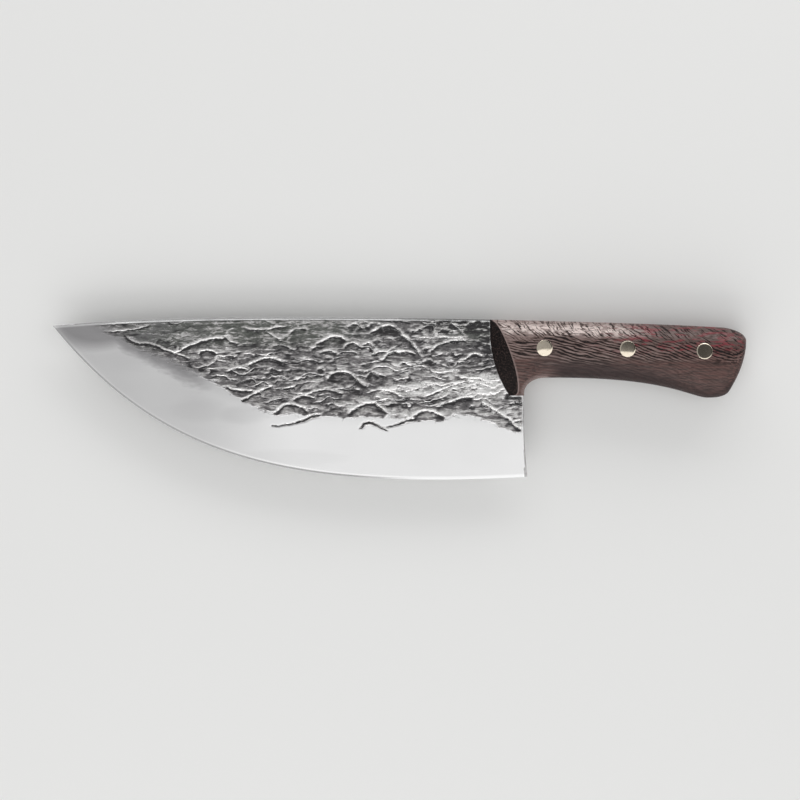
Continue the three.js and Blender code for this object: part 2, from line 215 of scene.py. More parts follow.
@dataclass(frozen=True)
class Outline:
    """Side view of the steel, in millimetres."""

    blade_length: float = 208.9
    blade_depth: float = 70.3
    tip_drop: float = 3.85
    tip_angle: float = 51.3
    tip_reach: float = 77.8
    heel_angle: float = 3.1
    heel_reach: float = 101.5
    spine_slope: float = 0.02
    spine_join: tuple[float, float] = (-25.0, -0.95)
    spine_rise_share: float = 0.234
    spine_crest: float = 0.9
    spine_reach: float = 60.0
    rear_set_back: float = 1.5
    rear_hollow: float = 2.1
    handle_reach: float = 96.1
    waist_depth: float = 26.7
    palm_depth: float = 35.45
    palm_inset: float = 16.6
    waist_ease: float = 0.757
    waist_hollow: float = 0.6
    palm_ease: float = 0.111
    fillet: tuple[float, float] = (9.2, 6.6)
    butt_turn: tuple[float, float] = (7.4, 3.05)
    butt_turn_angle: float = 59.0
    butt_turn_runs: tuple[float, float] = (2.6, 7.0)
    butt_drop: float = 4.6
    butt_slope: float = 0.06
    butt_corner: tuple[float, float] = (10.6, 5.9)
    butt_run: float = 8.0
    corner_ease: float = 0.55

    @property
    def tip(self) -> tuple[float, float]:
        """The blade's tip."""
        return (-self.blade_length, -self.tip_drop)

    @property
    def heel(self) -> tuple[float, float]:
        """The blade's heel corner."""
        return (0.0, -self.blade_depth)

    @property
    def rear_top(self) -> tuple[float, float]:
        """Top of the blade's rear edge, where the fillet begins."""
        return (-self.rear_set_back, -self.waist_depth - self.fillet[1])

    @property
    def waist(self) -> tuple[float, float]:
        """Where the fillet runs into the handle's underside."""
        return (self.fillet[0] - self.rear_set_back, -self.waist_depth)

    @property
    def palm(self) -> tuple[float, float]:
        """Lowest point of the palm swell."""
        return (self.handle_reach - self.palm_inset, -self.palm_depth)

    @property
    def turn(self) -> tuple[float, float]:
        """Middle of the butt's rounded lower corner."""
        return (self.handle_reach - self.butt_turn[0], -self.palm_depth + self.butt_turn[1])

    @property
    def butt(self) -> tuple[float, float]:
        """Top of the butt's straight run."""
        return (self.handle_reach, -self.butt_drop - self.butt_corner[1])

    @property
    def spine_end(self) -> tuple[float, float]:
        """Where the spine runs into the butt's upper corner."""
        return (self.handle_reach - self.butt_corner[0], -self.butt_drop)

    def edge(self) -> np.ndarray:
        """The cutting edge, from the tip to the heel.

        Returns:
            Its points, one to a row.
        """
        tip, heel = math.radians(self.tip_angle), math.radians(self.heel_angle)
        after_tip = (
            self.tip[0] + self.tip_reach * math.cos(tip),
            self.tip[1] - self.tip_reach * math.sin(tip),
        )
        before_heel = (
            -self.heel_reach * math.cos(heel),
            self.heel[1] - self.heel_reach * math.sin(heel),
        )
        return bezier(self.tip, after_tip, before_heel, self.heel, steps=240)

    def blade_spine(self) -> np.ndarray:
        """The spine, from the tip to the front of the handle.

        Returns:
            Its points, one to a row.
        """
        crest = (-(1 - self.spine_rise_share) * self.blade_length, self.spine_crest)
        x, y = self.spine_join
        last = (x - self.spine_reach, y + self.spine_reach * self.spine_slope)
        return bezier(self.tip, crest, last, self.spine_join, steps=160)

    def handle_spine(self) -> np.ndarray:
        """The spine, from the front of the handle to the butt's corner.

        Returns:
            Its points, one to a row.
        """
        (x, y), (end_x, end_y) = self.spine_join, self.spine_end
        rise = end_y - y + end_x * self.butt_slope - x * self.spine_slope
        turn = rise / (self.butt_slope - self.spine_slope)
        middle = (turn, y - (turn - x) * self.spine_slope)
        return bezier(self.spine_join, middle, self.spine_end, steps=80)

    def spine(self) -> np.ndarray:
        """The whole spine, from the tip to the butt's corner."""
        return joined(self.blade_spine(), self.handle_spine())

    def rear_edge(self) -> np.ndarray:
        """The blade's rear edge, from the heel up to the fillet."""
        middle = (-self.rear_hollow, (self.heel[1] + self.rear_top[1]) / 2)
        return bezier(self.heel, middle, self.rear_top, steps=30)

    def fillet_curve(self) -> np.ndarray:
        """The rounded corner between the blade and the handle.

        Returns:
            Its points, one to a row.
        """
        (x, y), (end_x, end_y) = self.rear_top, self.waist
        rise, run = self.corner_ease * self.fillet[1], self.corner_ease * self.fillet[0]
        return bezier(self.rear_top, (x, y + rise), (end_x - run, end_y), self.waist, steps=24)

    def underside(self) -> np.ndarray:
        """The handle's underside, from the waist to the palm swell.

        Returns:
            Its points, one to a row.
        """
        (x, y), (palm_x, palm_y) = self.waist, self.palm
        first = (x + self.waist_ease * (palm_x - x), y + self.waist_hollow)
        second = (palm_x + self.palm_ease * (x - palm_x), palm_y)
        return bezier(self.waist, first, second, self.palm, steps=90)

    def beside_turn(self, run: float) -> tuple[float, float]:
        """A point on the line that touches the butt's lower corner at its middle."""
        angle = math.radians(self.butt_turn_angle)
        return (self.turn[0] + run * math.cos(angle), self.turn[1] + run * math.sin(angle))

    def butt_low(self) -> np.ndarray:
        """From the palm swell to the middle of the butt's lower corner.

        Returns:
            Its points, one to a row.
        """
        first = (self.palm[0] + self.corner_ease * (self.turn[0] - self.palm[0]), self.palm[1])
        before = self.beside_turn(-self.butt_turn_runs[0])
        return bezier(self.palm, first, before, self.turn, steps=24)

    def butt_high(self) -> np.ndarray:
        """From the butt's lower corner up to its upper corner."""
        below = (self.butt[0], self.butt[1] - self.butt_run)
        return bezier(self.turn, self.beside_turn(self.butt_turn_runs[1]), below, self.butt, steps=40)

    def butt_top(self) -> np.ndarray:
        """The butt's upper corner, round to the spine.

        Returns:
            Its points, one to a row.
        """
        run = (1 - self.corner_ease) * self.butt_corner[0]
        rise = self.corner_ease * self.butt_corner[1]
        (x, y), (end_x, end_y) = self.butt, self.spine_end
        last = (end_x + run, end_y - run * self.butt_slope)
        return bezier(self.butt, (x, y + rise), last, self.spine_end, steps=30)


@dataclass(frozen=True)
class Steel:
    """Thickness of the steel and its grind, in millimetres."""

    half: float = 2.1
    tip_half: float = 1.7
    taper_start: float = -20.0
    skin: float = 0.03
    edge_half: float = 0.25
    apex_half: float = 0.05
    sharpened_slope: float = math.tan(math.radians(15))
    shoulder: float = 0.30
    eased: float = 0.35
    grind_line: tuple[tuple[float, float], ...] = (
        (-206.0, 6.5), (-195.0, -0.5), (-186.7, -5.9), (-179.7, -8.4), (-172.5, -11.9),
        (-166.9, -14.6), (-161.8, -16.7), (-154.2, -20.2), (-146.7, -24.4), (-138.9, -28.6),
        (-132.7, -31.6), (-126.4, -35.0), (-119.5, -38.6), (-111.2, -41.8), (-100.0, -42.9),
        (-92.0, -42.6), (-84.7, -43.6), (-79.5, -43.4), (-70.0, -44.6), (-60.5, -43.2),
        (-53.1, -44.0), (-46.5, -44.0), (-35.5, -43.8), (-28.2, -43.1), (-20.9, -44.4),
        (-13.5, -46.4), (-2.6, -49.2), (9.0, -53.0),
    )

    def half_at(self, x: np.ndarray, outline: Outline) -> np.ndarray:
        """Half the steel's thickness along the knife, before any grinding."""
        share = np.clip((self.taper_start - x) / (outline.blade_length + self.taper_start), 0, 1)
        return self.half + (self.tip_half - self.half) * share

    def ground(self, points: np.ndarray, from_edge: np.ndarray, outline: Outline) -> np.ndarray:
        """Height of the ground face over the steel's middle.

        Args:
            points: places on the plan, with x and y on the last axis.
            from_edge: their distance to the cutting edge.
            outline: the side view.

        Returns:
            The height of the polished skin: the bevel, its soft shoulder and the sharpened edge.
        """
        line = rounded(np.array(self.grind_line), 3)
        beyond = distance_to(line, points)
        beyond = np.where(points[..., 1] < height_at(line, points[..., 0]), beyond, -beyond)
        share = from_edge / np.maximum(from_edge + beyond, 1.0)
        top = self.half_at(points[..., 0], outline) - self.skin
        bevel = self.edge_half + (top - self.edge_half) * share
        blend = np.clip(0.5 + 0.5 * (bevel - top) / self.shoulder, 0, 1)
        soft = bevel * (1 - blend) + top * blend - self.shoulder * blend * (1 - blend)
        return np.minimum(soft, self.apex_half + self.sharpened_slope * from_edge)


# A fold's depth, how far it fades, and the points of its crest line.
Fold = tuple[float, float, tuple[tuple[float, float], ...]]
# A layer of noise: its strength, and its size along and across the knife.
Layer = tuple[float, float, float]

LEFT_FOLDS: tuple[Fold, ...] = (
    (0.34, 2.6, ((-71.5, -8.0), (-66.6, -5.2), (-62.1, -3.3), (-58.7, -3.9), (-56.5, -5.4),
            (-54.3, -8.5), (-51.2, -10.0), (-48.6, -14.4), (-46.0, -17.7))),
    (0.30, 2.0, ((-93.9, -12.0), (-89.5, -9.8), (-86.0, -8.4), (-82.9, -8.1), (-79.1, -10.2))),
    (0.18, 1.2, ((-79.4, -4.5), (-77.2, -2.7), (-74.1, -2.9), (-71.9, -5.2))),
    (0.26, 1.6, ((-81.1, -13.5), (-78.9, -11.3), (-76.3, -10.9), (-72.8, -13.1))),
    (0.22, 1.3, ((-72.3, -12.0), (-69.7, -10.8), (-66.6, -13.1))),
    (0.34, 2.4, ((-64.9, -19.5), (-62.2, -16.4), (-60.0, -14.9), (-56.5, -15.0), (-51.7, -15.1),
            (-48.2, -16.2))),
    (0.20, 1.4, ((-105.3, -18.8), (-101.8, -19.5), (-98.3, -18.7), (-95.2, -18.4), (-90.8, -20.0))),
    (0.34, 3.2, ((-89.1, -28.3), (-87.4, -25.8), (-85.1, -23.9), (-80.8, -23.9), (-77.6, -24.5),
            (-73.2, -29.2), (-68.4, -31.1))),
    (0.40, 2.3, ((-79.8, -43.0), (-75.3, -39.3), (-69.7, -37.2), (-65.6, -38.3), (-60.9, -42.8))),
    (0.62, 1.6, ((-75.0, -50.5), (-72.9, -46.5), (-70.4, -45.4), (-67.6, -45.7), (-64.2, -48.3),
            (-59.2, -50.5))),
    (1.05, 0.8, ((-114.6, -47.5), (-107.1, -47.2), (-100.1, -45.5), (-96.1, -43.6), (-91.3, -42.4))),
    (0.80, 0.7, ((-64.5, -47.6), (-61.0, -48.0), (-57.5, -46.6), (-53.0, -44.9), (-48.5, -44.3))),
    (0.16, 0.9, ((-46.8, -1.6), (-44.2, -3.0), (-41.1, -1.7))),
    (0.18, 1.0, ((-34.1, -2.1), (-31.2, -3.6), (-28.4, -6.7))),
    (0.20, 1.0, ((-52.1, -8.3), (-47.3, -9.0), (-38.5, -8.6), (-31.9, -9.0), (-24.8, -8.5))),
    (0.26, 2.2, ((-43.3, -15.7), (-41.1, -13.1), (-38.5, -11.5), (-32.0, -10.0), (-25.7, -9.6))),
    (0.16, 0.9, ((-42.4, -17.2), (-37.2, -16.1))),
    (0.28, 2.0, ((-28.8, -19.0), (-24.5, -16.3), (-22.2, -15.7), (-18.7, -17.5))),
    (0.24, 1.6, ((-56.5, -20.3), (-53.9, -19.7), (-50.8, -21.7), (-46.4, -21.0), (-43.8, -22.2))),
    (0.30, 1.2, ((-45.5, -34.9), (-38.5, -32.0), (-31.0, -28.9), (-27.0, -28.1))),
    (0.36, 2.4, ((-41.1, -39.7), (-35.0, -37.3), (-29.7, -35.4), (-23.5, -34.9))),
    (0.36, 2.4, ((-50.8, -43.7), (-47.3, -41.3), (-42.0, -40.8), (-35.8, -44.3))),
    (0.38, 2.2, ((-20.5, -37.1), (-18.3, -38.2), (-13.4, -41.3), (-7.9, -44.9), (-1.5, -50.7))),
    (0.30, 2.6, ((-153.7, -15.3), (-148.7, -12.2), (-142.4, -9.8), (-137.9, -9.1), (-133.0, -9.1))),
    (0.20, 1.4, ((-133.5, -8.3), (-130.0, -10.7), (-127.3, -11.5))),
    (0.26, 2.6, ((-145.4, -16.4), (-142.4, -14.3), (-138.9, -14.6), (-135.9, -15.9))),
    (0.18, 0.9, ((-144.5, -21.8), (-140.5, -21.2), (-137.9, -19.3), (-136.1, -16.4))),
    (0.18, 1.0, ((-153.3, -16.2), (-148.2, -18.3))),
    (0.18, 1.2, ((-125.1, -4.3), (-120.3, -5.5), (-115.4, -5.3), (-111.0, -4.2), (-105.3, -3.6))),
    (0.16, 1.0, ((-115.4, -5.5), (-111.5, -8.1), (-108.0, -10.3))),
    (0.14, 0.9, ((-116.8, -0.7), (-111.0, -3.0))),
    (0.16, 1.0, ((-112.4, -12.8), (-107.7, -11.7), (-103.1, -14.2))),
    (0.32, 2.4, ((-123.4, -21.6), (-120.3, -19.2), (-115.4, -17.7), (-111.9, -17.7),
            (-109.3, -19.2), (-104.2, -19.3))),
    (0.46, 1.5, ((-111.9, -42.8), (-108.4, -39.0), (-105.6, -37.8), (-99.6, -38.9), (-95.7, -41.7))),
    (0.38, 1.2, ((-126.4, -36.6), (-122.0, -34.4), (-118.1, -32.4), (-111.9, -29.9))),
    (0.30, 1.4, ((-132.6, -30.3), (-128.5, -32.0), (-120.7, -32.2))),
    (0.20, 1.2, ((-187.6, -6.3), (-179.7, -5.9), (-174.6, -5.4), (-170.1, -4.4), (-165.1, -3.0))),
    (0.30, 1.6, ((-177.5, -7.7), (-174.4, -9.9), (-171.3, -11.5), (-166.3, -11.1),
            (-161.2, -13.4), (-156.8, -15.0), (-148.2, -17.9))),
    (0.24, 1.6, ((-156.3, -16.0), (-153.7, -14.9), (-150.4, -12.8), (-144.0, -10.6))),
    (0.16, 0.8, ((-158.5, -1.2), (-155.9, -3.0), (-152.8, -2.6), (-151.1, -1.2))),
    (0.24, 1.6, ((-97.9, -34.2), (-92.1, -31.8), (-86.4, -31.6), (-80.7, -33.8))),
    (0.26, 1.8, ((-71.5, -33.6), (-65.8, -31.4), (-59.6, -32.5), (-54.3, -35.3))),
    (0.22, 1.4, ((-100.1, -26.1), (-96.1, -24.1), (-92.1, -24.8))),
    (0.30, 1.8, ((-103.6, -36.2), (-99.2, -34.0), (-93.5, -35.5))),
    (0.24, 1.4, ((-132.6, -23.7), (-127.3, -21.7), (-122.5, -23.0))),
    (0.22, 1.4, ((-92.1, -15.7), (-87.7, -14.2), (-83.3, -15.9))),
)


@dataclass
class HammerMarks:
    """One flat's forging marks, laid on an even raster.

    Each mark is a fold: the steel drops at a crest line, towards the cutting edge, and rises
    again slowly behind it.
    """

    seed: int
    outline: Outline
    grind_line: Sequence[tuple[float, float]]
    main_folds: tuple[Fold, ...] = ()
    long_folds: int = 0
    folds: int = 380
    pitch: float = 3.3
    wave_depth: float = 0.20
    wave_fade: float = 1.7
    spacing: float = 0.2
    low: tuple[float, float] = (-213.0, -74.0)
    high: tuple[float, float] = (6.0, 3.0)
    wall: float = 0.38
    lip: float = 0.035
    base_depth: float = 0.11
    line_reach: float = 1.6
    end_share: float = 0.2
    lip_width: float = 0.55
    full_lip_depth: float = 0.3
    line_width: float = 0.5
    depth_wiped: float = 0.6
    strength_wiped: float = 0.85
    hollow_wiped: float = 0.7
    hollow_start: tuple[float, float] = (0.1, 0.7)
    hollow_fade: float = 0.7
    dent_power: float = 1.3
    hollow_power: float = 1.5
    wave_strength: float = 0.75
    wave_hollow: float = 0.8
    wave_calming: float = 0.85
    least_slope: float = 0.3
    lower_band: tuple[float, float] = (-12.0, -30.0)
    lower_share: float = 0.35
    patch_size: tuple[float, float] = (12.0, 4.0)
    patch_range: tuple[float, float] = (-0.25, 0.55)
    over_grind: tuple[float, float] = (-0.5, 5.0)
    calm_front: tuple[float, float] = (-186.0, -165.0)
    calm_rear: tuple[float, float] = (-60.0, -90.0)
    calm_depth: tuple[float, float] = (17.0, 8.0)
    heel_front: tuple[float, float] = (-46.0, -26.0)
    heel_depth: tuple[float, float] = (14.0, 6.0)
    heel_share: float = 0.9
    calming: float = 0.6
    blur: tuple[float, float] = (1.3, 0.7)
    depth_limits: tuple[float, float] = (0.03, 0.8)
    warp_x: tuple[Layer, ...] = ((0.45, 3.1, 2.3),)
    warp_y: tuple[Layer, ...] = ((0.30, 2.3, 1.9), (0.12, 0.9, 0.8))
    ripples: tuple[Layer, ...] = ((0.055, 4.6, 1.5), (0.035, 1.9, 0.75))
    swells: tuple[Layer, ...] = ((0.07, 21.0, 12.0),)
    turns: tuple[Layer, ...] = ((2.6, 10.0, 7.0), (1.2, 4.2, 2.8), (0.4, 1.7, 1.3))
    fields: dict[str, np.ndarray] = field(init=False)

    def __post_init__(self) -> None:
        """Lays every mark and keeps the finished rasters."""
        columns = round((self.high[0] - self.low[0]) / self.spacing) + 1
        rows = round((self.high[1] - self.low[1]) / self.spacing) + 1
        axis_x = self.low[0] + self.spacing * np.arange(columns)
        axis_y = self.low[1] + self.spacing * np.arange(rows)
        x, y = np.meshgrid(axis_x, axis_y, indexing="ij")
        drop = height_at(self.outline.spine(), x) - y
        warped = np.stack([x + self.mixed(x, y, 1, self.warp_x),
                           y + self.mixed(x, y, 2, self.warp_y)], axis=-1)
        rasters = {name: np.zeros(x.shape) for name in ("depth", "strength", "scale_and_shade")}
        rasters["line"] = np.full(x.shape, self.line_reach)
        calm = self.calm(x, drop)
        self.lay_waves(rasters, x, y, 1 - self.wave_calming * calm)
        for fold in self.drawn_folds():
            self.press(rasters, warped, fold)
        ripple = self.mixed(x, y, 4, self.ripples) * (1 - self.calming * calm)
        ripple = ripple + self.mixed(x, y, 6, self.swells)
        depth = rasters["depth"] + ripple + self.base_depth
        widths = (self.blur[0] / self.spacing, self.blur[1] / self.spacing)
        self.fields = {
            "depth": np.clip(depth, *self.depth_limits),
            "line": rasters["line"],
            "strength": rasters["strength"],
            "scale_and_shade": rasters["scale_and_shade"],
            "raised": blurred(depth, widths) - depth,
            "calm": calm,
        }

    def mixed(self, x: np.ndarray, y: np.ndarray, first: int,
              layers: Sequence[Layer]) -> np.ndarray:
        """Adds layers of noise.

        Args:
            x: places along the knife.
            y: places across it.
            first: what the first layer adds to the seed; the next layers count on from it.
            layers: each layer's strength, and its size along and across.

        Returns:
            One value for each place.
        """
        return sum(
            strength * grain(x, y, (along, across), self.seed + first + index)
            for index, (strength, along, across) in enumerate(layers)
        )

    def calm(self, x: np.ndarray, drop: np.ndarray) -> np.ndarray:
        """Where the flat was struck least: a stretch beside the spine.

        Args:
            x: places along the knife.
            drop: how far they lie below the spine.

        Returns:
            How calm each place is, from 0 to 1.
        """
        along = smooth(*self.calm_front, x) * smooth(*self.calm_rear, x)
        heel = smooth(*self.heel_front, x) * smooth(*self.heel_depth, drop)
        return np.maximum(along * smooth(*self.calm_depth, drop), self.heel_share * heel)

    def lay_waves(self, rasters: dict[str, np.ndarray], x: np.ndarray, y: np.ndarray,
                  lively: np.ndarray) -> None:
        """Lays long wavy folds, one below the other, over the whole raster.

        Args:
            rasters: as for one fold; all are changed in place.
            x: the raster's places along the knife.
            y: its places across the knife.
            lively: how strongly each place was struck, from 0 to 1.
        """
        turn = y + self.mixed(x, y, 7, self.turns)
        slope = np.maximum(np.hypot(*np.gradient(turn, self.spacing)), self.least_slope)
        share = np.ceil(turn / self.pitch) - turn / self.pitch
        down = share * self.pitch / slope
        up = (1 - share) * self.pitch / slope
        above = y - height_at(np.array(self.grind_line), x)
        lower = self.lower_share * smooth(*self.lower_band, y)
        patches = grain(x, y, self.patch_size, self.seed + 10)
        amount = smooth(*self.patch_range, patches + lower)
        amount = amount * lively * smooth(*self.over_grind, above)
        dent = smooth(0.0, self.wall, down) * np.exp(-((down / self.wave_fade) ** self.dent_power))
        rasters["depth"] += self.wave_depth * amount * dent
        rasters["line"][:] = np.where(down < up, down, -up)
        rasters["strength"] += self.wave_strength * amount
        inside = np.exp(-((down / self.wave_fade) ** self.hollow_power))
        inside = smooth(*self.hollow_start, down) * inside
        rasters["scale_and_shade"] += self.wave_hollow * amount * inside

    def drawn_folds(self) -> list[Fold]:
        """Draws the smaller folds at random, and sets the main ones over them.

        Returns:
            The folds, in the order that they are pressed.
        """
        draw = np.random.default_rng(self.seed)
        spine = self.outline.spine()
        grind = np.array(self.grind_line)
        drawn = []
        for index in range(self.folds + self.long_folds):
            long_one = index >= self.folds
            x, drop = draw.uniform(-208.0, 4.0), draw.uniform(-1.0, 56.0)
            length = draw.uniform(9.0, 17.0) if long_one else 2.2 + 9.0 * draw.uniform() ** 2.0
            rise = length * draw.normal(0.14, 0.10)
            angle = math.radians(draw.normal(-1.0, 14.0))
            depth = draw.uniform(0.22, 0.36) if long_one else 0.04 + 0.26 * draw.uniform() ** 1.7
            fade = draw.uniform(1.4, 3.0) if long_one else draw.uniform(0.7, 2.4)
            wobble, skip, skew = draw.normal(0, 0.07, 7), draw.uniform(), draw.uniform(-0.3, 0.3)
            quiet = max(0.8 * float(self.calm(np.array(x), np.array(drop))),
                        0.6 * float(smooth(-150.0, -178.0, x)))
            if skip < quiet:
                continue
            share = np.linspace(-1, 1, 7)
            arc = rise * (1 - np.abs(share) ** 1.7) + length * wobble * (1 - share**2)
            along = 0.5 * length * (share + skew * (1 - share**2))
            y = float(height_at(spine, np.array([x]))[0]) - drop
            points = np.stack([
                x + along * math.cos(angle) - arc * math.sin(angle),
                y + along * math.sin(angle) + arc * math.cos(angle),
            ], axis=-1)
            deeper = 0.8 + 0.5 * float(smooth(10.0, 40.0, drop))
            deeper *= 1 - 0.5 * float(smooth(-148.0, -175.0, x))
            above = y - float(height_at(grind, np.array([x]))[0])
            deeper *= 0.15 + 0.85 * float(smooth(-0.5, 6.0, above))
            drawn.append((depth * deeper, fade, points))
        return drawn + list(self.main_folds)

    def press(self, rasters: dict[str, np.ndarray], warped: np.ndarray, fold: Fold) -> None:
        """Presses one fold into the rasters.

        Args:
            rasters: the depth, the nearest crest line's signed distance and its strength, and
            the painted shade in the hollow under each crest; all are changed in place.
            warped: the raster's places, after the warp that roughens every line.
            fold: its depth, how far it fades, and the points of its crest line.
        """
        deep, fade, points = fold
        line = rounded(np.array(points))
        reach = 3.2 * fade + 1.0
        low = np.floor((line.min(0) - reach - self.low) / self.spacing).astype(int)
        high = np.ceil((line.max(0) + reach - self.low) / self.spacing).astype(int)
        low, high = np.maximum(low, 0), np.maximum(high, 1)
        window = (slice(low[0], high[0]), slice(low[1], high[1]))
        near = warped[window]
        if near.size == 0:
            return
        nearest = np.full(near.shape[:2], np.inf)
        side, share = np.zeros(near.shape[:2]), np.zeros(near.shape[:2])
        count = len(line) - 1
        for index in range(count):
            start, way = line[index], line[index + 1] - line[index]
            away = near - start
            along = np.clip(away @ way / max(float(way @ way), 1e-9), 0, 1)
            gap = np.hypot(*np.moveaxis(away - along[..., None] * way, -1, 0))
            closer = gap < nearest
            nearest = np.where(closer, gap, nearest)
            turn = way[1] * away[..., 0] - way[0] * away[..., 1]
            side = np.where(closer, np.sign(turn), side)
            share = np.where(closer, (index + along) / count, share)
        below = side * nearest
        ends = smooth(0.0, self.end_share, share) * smooth(1.0, 1 - self.end_share, share)
        fall = np.exp(-((np.maximum(below, 0) / fade) ** self.dent_power))
        dent = smooth(0.0, self.wall, below) * fall * ends
        lip = self.lip * np.exp(-((below / self.lip_width) ** 2)) * (below < 0.1) * ends
        depth = rasters["depth"][window] * (1 - self.depth_wiped * dent)
        rasters["depth"][window] = depth + deep * dent - lip * deep / self.full_lip_depth
        strong = min(1.0, 0.12 + 2.4 * deep)
        older = rasters["strength"][window] * (1 - self.strength_wiped * dent)
        known = rasters["line"][window]
        beside = np.abs(below) < self.line_width
        takes = (np.abs(below) < np.abs(known)) | (beside & (strong * ends > older))
        rasters["line"][window] = np.where(takes, below, known)
        rasters["strength"][window] = np.where(takes, strong * ends, older)
        scale_and_shade = rasters["scale_and_shade"][window] * (1 - self.hollow_wiped * dent)
        inside = (np.maximum(below, 0) / (self.hollow_fade * fade)) ** self.hollow_power
        inside = smooth(*self.hollow_start, below) * np.exp(-inside)
        rasters["scale_and_shade"][window] = np.maximum(scale_and_shade, strong * inside * ends)

    def sample(self, name: str, points: np.ndarray) -> np.ndarray:
        """Reads a raster between its cells.

        Args:
            name: which raster.
            points: places, with x and y on the last axis.

        Returns:
            One value for each place.
        """
        values = self.fields[name]
        spot = (points - np.array(self.low)) / self.spacing
        cell = np.clip(np.floor(spot).astype(int), 0, np.array(values.shape) - 2)
        u, v = np.moveaxis(np.clip(spot - cell, 0, 1), -1, 0)
        i, j = cell[..., 0], cell[..., 1]
        low = values[i, j] * (1 - u) + values[i + 1, j] * u
        high = values[i, j + 1] * (1 - u) + values[i + 1, j + 1] * u
        return low * (1 - v) + high * v


@dataclass
class CrownShape:
    """The crowned outer surface of a scale, in millimetres."""

    outline: Outline
    base: float = 2.2
    lead: float = 16.5
    front_radius: float = 51.4
    front_top: float = 6.1
    foot: float = 34.6
    front_thickness: float = 7.5
    palm_thickness: float = 8.3
    power: float = 0.75
    overrun: float = 0.5
    end_overrun: float = 2.0
    flare: float = 4.4
    palm_station: float = 0.7
    butt_rounding: float = 9.0
    butt_crown: float = 0.45
    lower: np.ndarray = field(init=False)
    upper: np.ndarray = field(init=False)

    def __post_init__(self) -> None:
        """Lays the two guides that the crown runs between."""
        side = self.outline
        waist_x, waist_y = side.waist
        neck = bezier(
            (-self.lead - 5.0, -self.foot - self.flare),
            (waist_x - side.rear_set_back, -self.foot - self.flare + 1.0),
            (waist_x - 0.8 * side.fillet[0], waist_y),
            side.waist,
        )
        end = (side.turn[0] + 2 * self.end_overrun, side.palm[1] + self.overrun)
        turn = (side.palm[0] + side.corner_ease * (side.turn[0] - side.palm[0]), side.palm[1])
        self.lower = joined(neck, side.underside(), bezier(side.palm, turn, end))
        top = (side.handle_reach + self.end_overrun, -side.butt_drop - self.overrun)
        self.upper = joined(side.handle_spine(), np.array([side.spine_end, top]))

    @property
    def front_centre(self) -> np.ndarray:
        """Centre of the front's arc."""
        return np.array([self.front_radius - self.lead, -self.front_top])

    def from_front(self, points: np.ndarray) -> np.ndarray:
        """Distance behind the foot of the leaning front face.

        Args:
            points: places on the plan, with x and y on the last axis.

        Returns:
            One distance for each place, negative ahead of the face.
        """
        away = points - self.front_centre
        low = self.front_radius - np.hypot(away[..., 0], away[..., 1])
        level = points[..., 0] + self.lead
        return np.where((away[..., 1] > 0) | (away[..., 0] > 0), level, low)

    def height(self, points: np.ndarray) -> np.ndarray:
        """Height of the crown over the steel's middle.

        Args:
            points: places on the plan, with x and y on the last axis.

        Returns:
            The height, before the front is cut to its lean.
        """
        x, y = points[..., 0], points[..., 1]
        low = height_at(self.lower, x) - self.overrun
        high = height_at(self.upper, x) + self.overrun
        across = np.clip(2 * (y - low) / (high - low) - 1, -0.999, 0.999)
        along = (x - self.lower[0, 0]) / (self.lower[-1, 0] - self.lower[0, 0])
        end, top = self.lower[-1], self.upper[-1]
        way = (top - end) / np.linalg.norm(top - end)
        to_butt = -((x - end[0]) * way[1] - (y - end[1]) * way[0])
        near = 1 - np.clip(to_butt / self.butt_rounding, 0, 1)
        fall = np.sqrt(1 - (1 - self.butt_crown**2) * near**2)
        swell = smooth(0.0, self.palm_station, along)
        thick = self.front_thickness + (self.palm_thickness - self.front_thickness) * swell
        return self.base + thick * fall * (1 - across**2) ** self.power


# ---- Mesh helpers --------------------------------------------------------------------------


def lay_grid(mesh: bmesh.types.BMesh, places: np.ndarray) -> list[bmesh.types.BMVert]:
    """Adds a grid whose points lie at given places.

    Args:
        mesh: the mesh that the grid joins.
        places: an array of x, y and z by column and row.

    Returns:
        The grid's vertices, column by column.
    """
    columns, rows = places.shape[0] - 1, places.shape[1] - 1
    made = bmesh.ops.create_grid(mesh, x_segments=columns, y_segments=rows, size=0.5)["verts"]
    ordered: list[bmesh.types.BMVert] = [None] * len(made)
    for vert in made:
        column = round((vert.co.x + 0.5) * columns)
        row = round((vert.co.y + 0.5) * rows)
        ordered[column * (rows + 1) + row] = vert
        vert.co = places[column, row]
    return ordered


def finish_piece(mesh: bmesh.types.BMesh, name: str, offset: Vector, angle: float) -> bpy.types.Object:
    """Turns a finished mesh in millimetres into a piece in metres.

    Args:
        mesh: the mesh, which is freed.
        name: the piece's name.
        offset: where the plan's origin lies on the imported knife, in metres.
        angle: edges sharper than this stay sharp, in degrees.

    Returns:
        The piece, at the origin, with its place in its mesh.
    """
    bmesh.ops.remove_doubles(mesh, verts=mesh.verts, dist=MERGE)
    bmesh.ops.recalc_face_normals(mesh, faces=mesh.faces)
    mesh.transform(Matrix.Translation(offset) @ Matrix.Scale(MM, 4))
    data = bpy.data.meshes.new(name)
    mesh.to_mesh(data)
    mesh.free()
    data.shade_smooth()
    data.set_sharp_from_angle(angle=math.radians(angle))
    piece = bpy.data.objects.new(name, data)
    bpy.context.scene.collection.objects.link(piece)
    return piece


def store(piece: bpy.types.Object, name: str, values: np.ndarray) -> None:
    """Writes one number to each of a piece's vertices, as an attribute."""
    layer = piece.data.attributes.new(name, "FLOAT", "POINT")
    layer.data.foreach_set("value", np.asarray(values, dtype=np.float32))


def plan_of(piece: bpy.types.Object, offset: Vector) -> np.ndarray:
    """Gives a piece's vertices back in millimetres on the knife's own plan.

    Args:
        piece: the piece.
        offset: the plan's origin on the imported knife, in metres.

    Returns:
        One row of x, y and z for each vertex.
    """
    flat = np.empty(3 * len(piece.data.vertices), dtype=np.float32)
    piece.data.vertices.foreach_get("co", flat)
    return (flat.reshape(-1, 3).astype(float) - np.array(offset)) / MM


